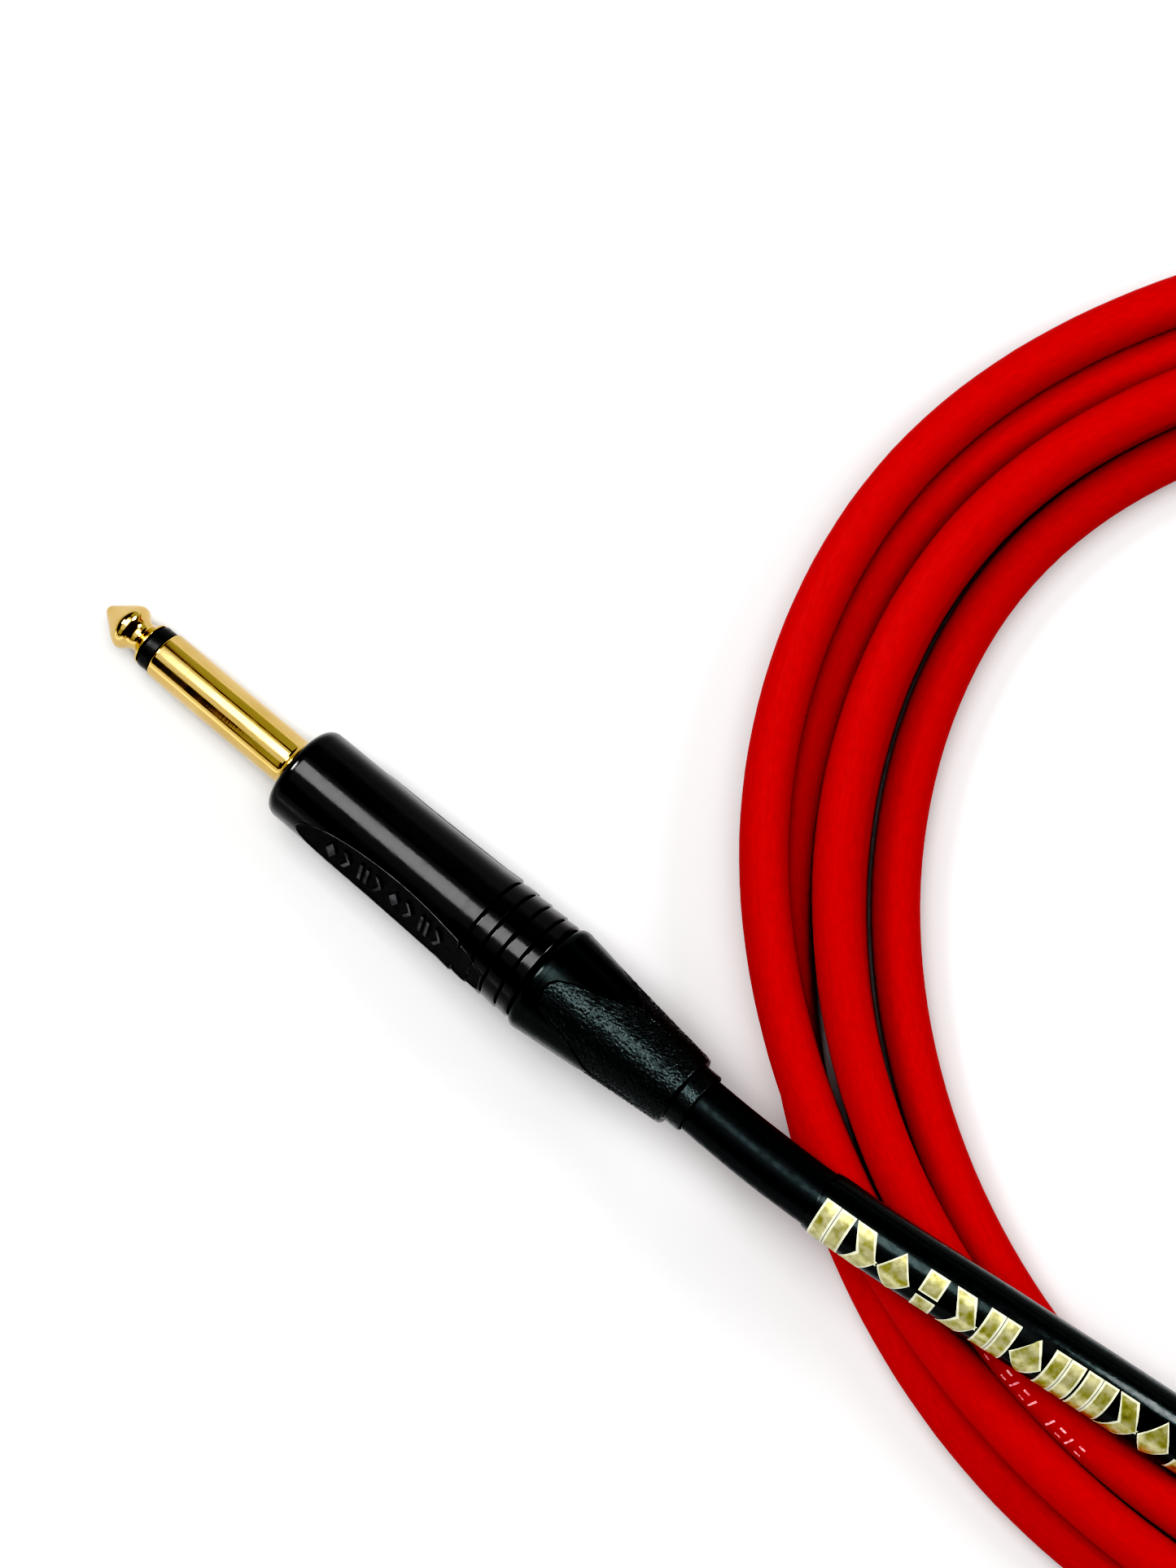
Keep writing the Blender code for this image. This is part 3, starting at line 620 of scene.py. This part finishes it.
def shell_mesh():
    """The shell's skin with its two facets, its rear thread and its bore, as one closed body."""
    degrees = 360.0 * np.arange(SHELL_COLUMNS) / SHELL_COLUMNS
    outer = np.concatenate([MOUTH_ROUND * (1 - np.cos(np.linspace(0.02, math.pi / 2, 9))),
                            np.arange(1.6, GRIP_GROOVES[0] - 0.6, SHELL_ROW),
                            np.arange(GRIP_GROOVES[0] - 0.6, SHELL_END - BACK_ROUND, GRIP_ROW),
                            SHELL_END - BACK_ROUND + BACK_ROUND * np.sin(np.linspace(0, math.pi / 2, 7))])
    s = np.repeat(outer[:, None], SHELL_COLUMNS, 1)
    r = barrel_radius(s)
    for angle in FACET_ANGLES:
        r = np.minimum(r, facet_radius(s, degrees[None, :] - angle))
    thread_s = np.arange(SHELL_END - 0.3, SHELL_END - 6.6, -0.16)
    turns = (thread_s[:, None] / THREAD_PITCH - degrees[None, :] / 360.0) % 1.0
    thread_r = SHELL_BORE + 0.14 * np.abs(2 * turns - 1)
    inner = [(SHELL_END, SHELL_BORE + 0.3), (thread_s[-1] - 0.2, SHELL_BORE), *BORE_MOUTH]
    flat = [(np.full((1, SHELL_COLUMNS), a), np.full((1, SHELL_COLUMNS), b)) for a, b in inner]
    threads = (np.repeat(thread_s[:, None], SHELL_COLUMNS, 1), thread_r)
    blocks = [(s, r), flat[0], threads] + flat[1:]
    mesh = wrapped("shell", np.concatenate([b[0] for b in blocks]),
                   np.concatenate([b[1] for b in blocks]), degrees, smooth_angle=28.0)
    for finish_here in (SHELL, RECESS):
        mesh.materials.append(finish_here)
    x, y, z = (np.array([face.center for face in mesh.polygons]) / MM).T
    angle = np.degrees(np.arctan2(y, z))
    hollow = np.min([facet_radius(x, angle - middle) for middle in FACET_ANGLES], axis=0)
    recessed = (np.hypot(y, z) > 5.2) & (hollow < barrel_radius(x) - 0.05)
    mesh.polygons.foreach_set("material_index", recessed.astype(np.int32))
    return mesh


def facet_outline(angle):
    """Points round a facet's edge, where its hollow meets the barrel."""
    points = []
    for side in (1, -1):
        stations = np.linspace(FACET_MIDDLE - 16, FACET_MIDDLE + 16, 321)[::side]
        for s in stations:
            away = np.linspace(0.0, 50.0, 251)
            hollow = facet_radius(s, away) - barrel_radius(s)
            if hollow[0] >= 0:
                continue
            edge = np.interp(0.0, hollow[:180], away[:180]) if hollow[:180].max() > 0 else away[179]
            points.append((s, barrel_radius(s), angle + side * edge))
    return points


def facet_rims_mesh():
    """A fine raised line along each facet's edge."""
    sides, thick = 6, 0.09
    meshes = []
    for angle in FACET_ANGLES:
        line = facet_outline(angle)
        keep = np.linspace(0, len(line), 240, endpoint=False).astype(int)
        line = np.array([(s, r * math.sin(math.radians(d)), r * math.cos(math.radians(d)))
                         for s, r, d in (line[k] for k in keep)])
        along = np.roll(line, -1, 0) - np.roll(line, 1, 0)
        along /= np.linalg.norm(along, axis=1)[:, None]
        out = line * (0, 1, 1)
        out /= np.linalg.norm(out, axis=1)[:, None]
        side = np.cross(along, out)
        turn = 2 * math.pi * np.arange(sides) / sides
        rings = (line[:, None, :] + thick * (np.cos(turn)[None, :, None] * out[:, None, :]
                                             + np.sin(turn)[None, :, None] * side[:, None, :]))
        meshes.append(skin("facet rims", rings, closed=True))
    return joined("facet rims", meshes)


FACET_MARKS = (9.6, 2.45, 8)            # where the first stands, their step and how many


def facet_marks_mesh():
    """A plain pattern of diamonds, chevrons and bars standing in each facet's hollow."""
    first, step, count = FACET_MARKS
    quads = []
    for k in range(count):
        u = first + step * k
        if k % 2:
            quads += [((u, -1.5), (u + 0.55, -1.5), (u + 1.35, 0.0), (u + 0.8, 0.0)),
                      ((u + 0.8, 0.0), (u + 1.35, 0.0), (u + 0.55, 1.5), (u, 1.5))]
        elif k % 4:
            quads += [((u + v, -1.5), (u + v + 0.5, -1.5), (u + v + 0.5, 1.5), (u + v, 1.5))
                      for v in (0.1, 1.1)]
        else:
            quads.append(((u, 0.0), (u + 0.8, -1.5), (u + 1.6, 0.0), (u + 0.8, 1.5)))
    meshes = []
    for angle in FACET_ANGLES:
        def place(u, v, height, angle=angle):
            away = np.degrees(v / 5.6)
            r = facet_radius(u, away) + height
            turn = np.radians(angle + away)
            return np.stack([u, r * np.sin(turn), r * np.cos(turn)], -1)

        meshes.append(relief("facet marks", quads, place, -0.12, 0.22, 0.5))
    return joined("facet marks", meshes)


def joined(name, meshes):
    """Several meshes as one."""
    points, faces = [], []
    for mesh in meshes:
        start = len(points)
        points += [v.co / MM for v in mesh.vertices]
        faces += [[start + i for i in f.vertices] for f in mesh.polygons]
        bpy.data.meshes.remove(mesh)
    return finished_mesh(name, np.array([tuple(p) for p in points]), faces)


# The boot's hard front ends in three points between three round-bottomed scallops, which the
# rubber fills.
SCALLOP_ANGLES = (-9.0, 111.0, -129.0)
SCALLOP_FLOOR = 41.9
SCALLOP_EDGE = ((0.0, 0.0), (8.0, 0.22), (15.0, 0.8), (23.0, 2.5), (30.0, 4.8), (37.0, 6.6),
                (45.0, 7.9), (52.0, 8.7), (57.0, 9.3), (60.0, 10.1))
BOOT_COLUMNS = 240


def boot_radius(s):
    return np.interp(s, (BOOT_FRONT, 50.8, BOOT_END - 0.4), (BOOT_MAX_R, 6.05, 4.95))


def scallop_s(degrees):
    """Where the hard front ends, at an angle round the boot."""
    away = np.min([np.abs((degrees - a + 180) % 360 - 180) for a in SCALLOP_ANGLES], axis=0)
    angles, depths = zip(*SCALLOP_EDGE)
    return SCALLOP_FLOOR + np.interp(away, angles, depths)


def boot_front_mesh():
    """The hard front: a threaded skirt that goes into the shell, a shoulder and the points."""
    degrees = SCALLOP_ANGLES[0] + 360.0 * np.arange(BOOT_COLUMNS) / BOOT_COLUMNS
    end = scallop_s(degrees)[None, :]
    ones = np.ones_like(end)
    skirt_s = np.arange(33.9, 39.4, 0.14)[:, None] * ones
    turns = (skirt_s / THREAD_PITCH - degrees[None, :] / 360.0) % 1.0
    skirt_r = 4.66 - 0.2 * np.abs(2 * turns - 1)
    edge = 0.16
    shoulder = rounded(((39.78, 4.5, 0.1), (39.78, 6.95, 0.5), (BOOT_FRONT + 0.1, BOOT_MAX_R + 0.02, 0.5),
                        (BOOT_FRONT + 0.8, BOOT_MAX_R - 0.05, 0.0)), steps=6, closed=False)
    share = np.linspace(0.0, 1.0, 34)[:, None]
    top_s = (BOOT_FRONT + 0.82) + (end - edge - BOOT_FRONT - 0.82) * share
    turn = np.linspace(0.2, math.pi / 2, 5)[:, None]
    lip_s = end - edge + edge * np.sin(turn)
    lip_r = boot_radius(end - edge) + 0.02 - edge * (1 - np.cos(turn)) * 1.6
    rows = [(33.5 * ones, 4.1 * ones), (33.5 * ones, 4.4 * ones), (skirt_s, skirt_r),
            (39.6 * ones, 4.45 * ones), (shoulder[:, 0][:, None] * ones, shoulder[:, 1][:, None] * ones),
            (top_s, boot_radius(top_s) + 0.02), (lip_s, lip_r), (end, boot_radius(end) - 0.6),
            (end, 5.35 * ones), (41.5 * ones, 5.3 * ones), (41.5 * ones, 4.1 * ones)]
    return wrapped("boot front", np.concatenate([s for s, _ in rows]),
                   np.concatenate([r for _, r in rows]), degrees)


def grain(s, degrees, r):
    """Height of the rubber's coarse grain: round pimples about 0.3 mm apart."""
    turn = np.radians(degrees)
    height = np.zeros(s.shape)
    for index in np.ndindex(s.shape):
        place = Vector((s[index], r[index] * math.sin(turn[index]), r[index] * math.cos(turn[index])))
        height[index] = noise.noise(place * 5.0) + 0.4 * noise.noise(place * 9.0 + Vector((9, 4, 2)))
    return np.clip(height, -0.25, 0.8)


def boot_rubber_mesh():
    """The rubber grip: it fills the scallops, tapers back and ends in a thin lip."""
    columns = 264
    degrees = SCALLOP_ANGLES[0] + 360.0 * np.arange(columns) / columns
    start = (scallop_s(degrees) + 0.06)[None, :]
    ones = np.ones_like(start)
    taper_end = BOOT_END - 1.0
    share = np.linspace(0.0, 1.0, 112)[:, None]
    skin_s = (start + 0.12) + (taper_end - start - 0.12) * share
    skin_r = boot_radius(skin_s) - 0.10
    turn = np.repeat(degrees[None, :], len(skin_s), 0)
    skin_r = skin_r + 0.10 * grain(skin_s, turn, skin_r)
    shoulder = rounded(((taper_end, 4.92, 0.0), (BOOT_END - 0.05, 4.86, 0.75), (BOOT_END, LIP_R, 0.12),
                        (LIP_END, LIP_R, 0.25), (LIP_END, 3.72, 0.1), (54.5, 3.72, 0.0),
                        (53.5, 4.0, 0.0), (41.8, 4.0, 0.0), (41.8, 5.0, 0.0)), steps=6, closed=False)
    rows = [(start, 5.0 * ones), (start, boot_radius(start) - 0.3), (skin_s, skin_r),
            (shoulder[1:, 0][:, None] * ones, shoulder[1:, 1][:, None] * ones)]
    return wrapped("boot rubber", np.concatenate([s for s, _ in rows]),
                   np.concatenate([r for _, r in rows]), degrees)


# ---- what lies on the cable ----
def tube_rings(far, stations, radii, sides):
    """Rings round the cable at distances from a stripped end, with a radius each."""
    place, _, up, side = route.frame_at(stations, far)
    turn = 2 * math.pi * np.arange(sides) / sides
    way = (np.cos(turn)[None, :, None] * up[:, None, :] + np.sin(turn)[None, :, None] * side[:, None, :])
    return place[:, None, :] + np.asarray(radii)[:, None, None] * way


def add_uv(mesh, rings_shape, stations):
    """UV in metres along a tube and in turns round it, from each vertex's own ring."""
    count, sides = rings_shape
    layer = mesh.uv_layers.new(name="UVMap")
    vertex = np.zeros(len(mesh.loops), int)
    mesh.loops.foreach_get("vertex_index", vertex)
    ring, point = vertex // sides, vertex % sides
    first = np.zeros(len(mesh.polygons), int)
    total = np.zeros(len(mesh.polygons), int)
    mesh.polygons.foreach_get("loop_start", first)
    mesh.polygons.foreach_get("loop_total", total)
    around = point / sides
    for start, size in zip(first, total):
        part = around[start:start + size]
        if size == 4 and part.max() - part.min() > 0.5:
            part[part < 0.5] += 1.0
    along = np.asarray(stations)[np.clip(ring, 0, count - 1)] * MM
    layer.data.foreach_set("uv", np.column_stack([along, around]).ravel())


def sleeve_on_cable(name, far, reach, inner, outer, sides=48, flare=0.0, wobble=0.0):
    """A thin tube round the cable with rounded ends, out along its outside and back inside."""
    first, last = reach
    wall = outer - inner
    turn = np.linspace(0.0, math.pi / 2, 4)
    body = np.arange(first + wall, last - wall, 1.0)
    stations = np.concatenate([first + wall * (1 - np.sin(turn)), body[1:],
                               last - wall * (1 - np.sin(turn[::-1]))])
    stations = np.sort(stations)
    from_end = np.minimum(stations - first, last - stations)
    round_off = wall - np.sqrt(np.clip(wall ** 2 - np.clip(wall - from_end, 0, None) ** 2, 0, None))
    radii = outer - 0.8 * round_off + flare * np.exp(-from_end / 0.8)
    if wobble:
        radii = radii + wobble * np.array([noise.noise(Vector((t * 0.11, 3.0 if far else 7.0, 0.5)))
                                           for t in stations])
    outside = tube_rings(far, stations, radii, sides)
    back = np.linspace(last, first, max(2, int((last - first) / 4)))
    inside = tube_rings(far, back, np.full(len(back), inner), sides)
    mesh = skin(name, np.concatenate([outside, inside]), closed=True)
    add_uv(mesh, (len(stations) + len(back), sides), np.concatenate([stations, back]))
    return mesh


def cord_mesh():
    """The whole cable as one tube, from the stripped end in one plug to that in the other."""
    rings = tube_rings(False, route.at, np.full(len(route.at), CABLE_R), CORD_SIDES)
    mesh = skin("cord", rings, caps=True, smooth_angle=60.0)
    add_uv(mesh, (len(route.at), CORD_SIDES), route.at)
    return mesh


SHRINK_BORE = 3.22
FILM_BORE = 3.78
PRINT_PITCH = 4.4
PRINT_TURN = -35.0          # degrees round the cable of the print's middle
PRINT_HEIGHT = 6.0


def strokes(kind, u):
    """A bold geometric figure 3.8 mm wide and 6 mm high at u: bars, chevrons and diamonds."""
    h = PRINT_HEIGHT / 2
    if kind == "blocks":
        return [((u + 0.9, -h), (u + 2.9, -h), (u + 2.9, -0.55), (u + 0.9, -0.55)),
                ((u + 0.9, 0.55), (u + 2.9, 0.55), (u + 2.9, h), (u + 0.9, h))]
    if kind == "chevron":
        return [((u, -h), (u + 2.0, -h), (u + 3.8, 0.0), (u + 1.8, 0.0)),
                ((u + 1.8, 0.0), (u + 3.8, 0.0), (u + 2.0, h), (u, h))]
    if kind == "diamond":
        return [((u, 0.0), (u + 1.9, -h), (u + 3.8, 0.0), (u + 1.9, h))]
    return [((u + v, -h), (u + v + 1.45, -h), (u + v + 1.45, h), (u + v, h)) for v in (0.1, 2.2)]


PRINT_ORDER = ("bars", "chevron", "diamond", "blocks", "chevron", "bars", "diamond", "bars")


def print_quads():
    first, last = FILM_REACH
    count = int((last - first - 2.0) / PRINT_PITCH)
    quads = []
    for k in range(count):
        quads += strokes(PRINT_ORDER[k % len(PRINT_ORDER)], first + 1.2 + PRINT_PITCH * k)
    return quads


def grown(quad, by):
    """A mark's corners moved outwards from its middle."""
    corners = np.array(quad)
    middle = corners.mean(0)
    away = corners - middle
    return [tuple(p) for p in middle + away + by * np.sign(away)]


def figures_on_cable(name, far, quads, low, high, radius, middle_turn):
    """Raised figures wrapped on the cable, with u along it and v round it, in millimetres."""
    def place(u, v, height):
        centre, _, up, side = route.frame_at(u, far)
        turn = math.radians(middle_turn) + v / radius
        return centre + (radius + height) * (np.cos(turn)[:, None] * up + np.sin(turn)[:, None] * side)

    return relief(name, quads, place, low, high, 0.6)


# A short row of pale dashes and ticks printed on one strand of the coil.
MARK_REACH = (1516.0, 1538.0)
MARK_TURN = -38.0
MARK_STEP = 1.5


def mark_quads():
    first, last = MARK_REACH
    quads = []
    for k in range(int((last - first) / MARK_STEP)):
        u = first + MARK_STEP * k
        if k % 5 == 4:
            continue
        if k % 2:
            quads += [((u, v), (u + 0.9, v), (u + 0.9, v + 0.3), (u, v + 0.3)) for v in (-0.7, 0.45)]
        else:
            quads.append(((u, -0.75), (u + 0.3, -0.75), (u + 0.6, 0.75), (u + 0.3, 0.75)))
    return quads


def add_cable():
    """What lies on the cable at each end, and the marks on its jacket.  Returns the pieces."""
    pieces = []
    for side in SIDES:
        far = side == "_b"
        shrink = sleeve_on_cable("shrink", far, SHRINK_REACH, SHRINK_BORE, SHRINK_R, wobble=0.06)
        film = sleeve_on_cable("film", far, FILM_REACH, FILM_BORE, FILM_R, flare=-0.2, wobble=0.03)
        pieces.append(show("shrink" + side, shrink, SHRINK, "black_shrink", "cable",
                           "heat_shrink" + side))
        pieces.append(show("film" + side, film, FILM, "printed_film", "cable", "clear_sleeve" + side))
        figures = print_quads()
        edges = figures_on_cable("edges", far, [grown(q, 0.28) for q in figures], -0.05, 0.035,
                                 FILM_R, PRINT_TURN)
        faces = figures_on_cable("faces", far, figures, -0.05, 0.07, FILM_R, PRINT_TURN)
        both = two_tone("print", faces, INK, edges, INK_EDGE)
        pieces.append(show("print" + side, both, INK, "printed_film", "cable"))
    marks = figures_on_cable("marks", False, mark_quads(), -0.05, 0.02, CABLE_R, MARK_TURN)
    pieces.append(show("jacket_marks", marks, MARKS, "red_jacket", "cable"))
    return pieces


def two_tone(name, front, front_finish, back, back_finish):
    """Two meshes in one, each with its own material."""
    bm = bmesh.new()
    bm.from_mesh(front)
    count = len(bm.faces)
    bm.from_mesh(back)
    bm.faces.ensure_lookup_table()
    for face in bm.faces[count:]:
        face.material_index = 1
    mesh = bpy.data.meshes.new(name)
    bm.to_mesh(mesh)
    bm.free()
    for old in (front, back):
        bpy.data.meshes.remove(old)
    mesh.materials.append(front_finish)
    mesh.materials.append(back_finish)
    mesh.shade_smooth()
    mesh.set_sharp_from_angle(angle=math.radians(SMOOTH))
    return mesh


def add_plugs():
    """Both plugs from the same meshes.  The far plug's pieces are returned."""
    shapes = (
        ("tip", tip_mesh(), GOLD, "gold", "cable", "tip_contact"),
        ("ring", ring_mesh(), RING, "insulator_ring", "cable", "tip_insulator"),
        ("sleeve", sleeve_mesh(), GOLD, "gold", "cable", "sleeve_contact"),
        ("shell_skin", shell_mesh(), SHELL, "black_shell", "shell", "shell"),
        # The facet rims and marks take the lighter edge finish, a painted highlight.
        ("facet_rims", facet_rims_mesh(), EDGE_HIGHLIGHT, "black_shell", "shell", None),
        ("facet_marks", facet_marks_mesh(), EDGE_HIGHLIGHT, "black_shell", "shell", None),
        ("boot_front", boot_front_mesh(), CROWN, "black_gloss", "boot", "boot_crown"),
        ("boot_rubber", boot_rubber_mesh(), RUBBER, "black_rubber", "boot", "boot_grip"),
    )
    far_pieces = []
    for side in SIDES:
        for name, mesh, finish, slot, body, node in shapes:
            body = body if body == "cable" else body + side
            piece = show(name + side, mesh, finish, slot, body, node and node + side, plug_matrix(side))
            if side == "_b":
                far_pieces.append(piece)
    return far_pieces


def dress_carried_nodes():
    """Procedural finishes for the CAD pieces that show as they are, inside the shells."""
    slots = {row["node"]: row["material_slot"] for row in frame["record"]["subparts"]}
    for name, node in frame["nodes"].items():
        if slots[name] in CARRIED and not node.hide_render:
            node.data.materials.clear()
            node.data.materials.append(CARRIED[slots[name]])


# ---- the studio ----
PANELS = (      # place, aim, size in metres and brightness
    ("core", (-0.05, 0.095, 0.60), (-0.05, 0.095, 0.0), (0.60, 0.33), 4.3),
    ("overhead", (-0.05, 0.03, 0.62), (-0.05, 0.03, 0.0), (0.8, 0.82), 1.0),
    ("key left", (-1.05, 0.0, 0.95), (0.05, 0.05, 0.0), (0.40, 0.40), 22.0),
    ("key right", (0.70, 0.85, 0.80), (0.05, 0.05, 0.0), (0.45, 0.45), 13.0),
    ("side", (0.0, 1.0, 0.45), (0.05, 0.05, 0.0), (1.2, 0.9), 0.50),
    ("fill", (0.0, -0.95, 0.95), (0.0, 0.0, 0.0), (1.2, 0.7), 0.50),
    ("low card", (0.0, -1.2, 0.25), (0.05, 0.0, 0.05), (2.4, 0.50), 1.1),
)
FLOOR_HALF = 6.0            # metres
FLOOR_MIDDLE = (-0.05, 0.09)
FLOOR_GAP = 0.0001          # below the table plane, so that the two don't flicker
FLOOR_FADE = (0.3, 0.9)     # metres from the middle over which the floor turns plain white
HORIZON_GLOW = ((0.0, 0.95), (0.10, 0.90), (0.22, 0.08), (1.0, 0.08))   # sine of elevation, level
VALUE_CURVE = 3             # the curve that acts on all three colours
TONE_CURVE = ((0.0, 0.0), (0.055, 0.002), (0.11, 0.015), (0.2, 0.14), (0.5, 0.45), (1.0, 1.0))


def add_area(name, place, aim, size, brightness):
    """A soft white panel, as bright from any size."""
    light = bpy.data.lights.new(name, "AREA")
    light.shape = "RECTANGLE"
    light.size, light.size_y = size
    light.energy = brightness * math.pi * size[0] * size[1]
    lamp = bpy.data.objects.new(name, light)
    bpy.context.scene.collection.objects.link(lamp)
    way = Vector(aim) - Vector(place)
    lamp.rotation_euler = way.to_track_quat("-Z", "Y").to_euler()
    lamp.location = place


def floor_finish():
    """Pale paper that turns into an even white sweep away from the middle."""
    made = Finish("pale floor", (0.65, 0.65, 0.65), 0.8, specular=0.2)
    made.colour(made.field(3.0, 4.0), ((0.3, 0.64), (0.7, 0.66)))
    space = made.nodes.new("ShaderNodeTexCoord")
    distance = made.nodes.new("ShaderNodeVectorMath")
    distance.operation = "LENGTH"
    made.links.new(space.outputs["Object"], distance.inputs[0])
    sweep = made.nodes.new("ShaderNodeMapRange")
    sweep.interpolation_type = "SMOOTHSTEP"
    sweep.inputs["From Min"].default_value, sweep.inputs["From Max"].default_value = FLOOR_FADE
    made.links.new(distance.outputs["Value"], sweep.inputs["Value"])
    made.shader.inputs["Emission Color"].default_value = (0.97, 0.98, 1.0, 1.0)
    made.links.new(sweep.outputs["Result"], made.shader.inputs["Emission Strength"])
    return made.material


def add_world():
    """Dim overhead and bright along the horizon, so that side views keep a pale background."""
    world = bpy.data.worlds.new("studio")
    bpy.context.scene.world = world
    world.use_nodes = True
    nodes, links = world.node_tree.nodes, world.node_tree.links
    space = nodes.new("ShaderNodeTexCoord")
    height = nodes.new("ShaderNodeSeparateXYZ")
    links.new(space.outputs["Generated"], height.inputs["Vector"])
    links.new(ramp(world.node_tree, height.outputs["Z"], HORIZON_GLOW),
              nodes["Background"].inputs["Color"])


def add_studio():
    """The floor, the surroundings and the light panels."""
    mesh = bpy.data.meshes.new("floor")
    half = FLOOR_HALF
    mesh.from_pydata([(-half, -half, 0), (half, -half, 0), (half, half, 0), (-half, half, 0)], [],
                     [(0, 1, 2, 3)])
    mesh.materials.append(floor_finish())
    floor = bpy.data.objects.new("floor", mesh)
    bpy.context.scene.collection.objects.link(floor)
    floor.location = (*FLOOR_MIDDLE, -FLOOR_GAP)
    add_world()
    for panel in PANELS:
        add_area(*panel)


def add_tone_curve():
    """The picture's contrast: whites as they are, and dark tones pulled down to black."""
    view = bpy.context.scene.view_settings
    view.view_transform = "Standard"
    view.use_curve_mapping = True
    points = view.curve_mapping.curves[VALUE_CURVE].points
    for level in TONE_CURVE[1:-1]:
        points.new(*level)
    points[0].location = TONE_CURVE[0]
    points[-1].location = TONE_CURVE[-1]
    view.curve_mapping.update()


# ---- put it together ----
add_camera()
cord = show("cord", cord_mesh(), JACKET, "red_jacket", "cable", ("coil", "lead_a", "lead_b"))
sleeves = add_cable()
far_plug = add_plugs()
dress_carried_nodes()
add_studio()
add_tone_curve()

tuple(plug_matrix("_a") @ Vector((40 * MM, 0, 0)))
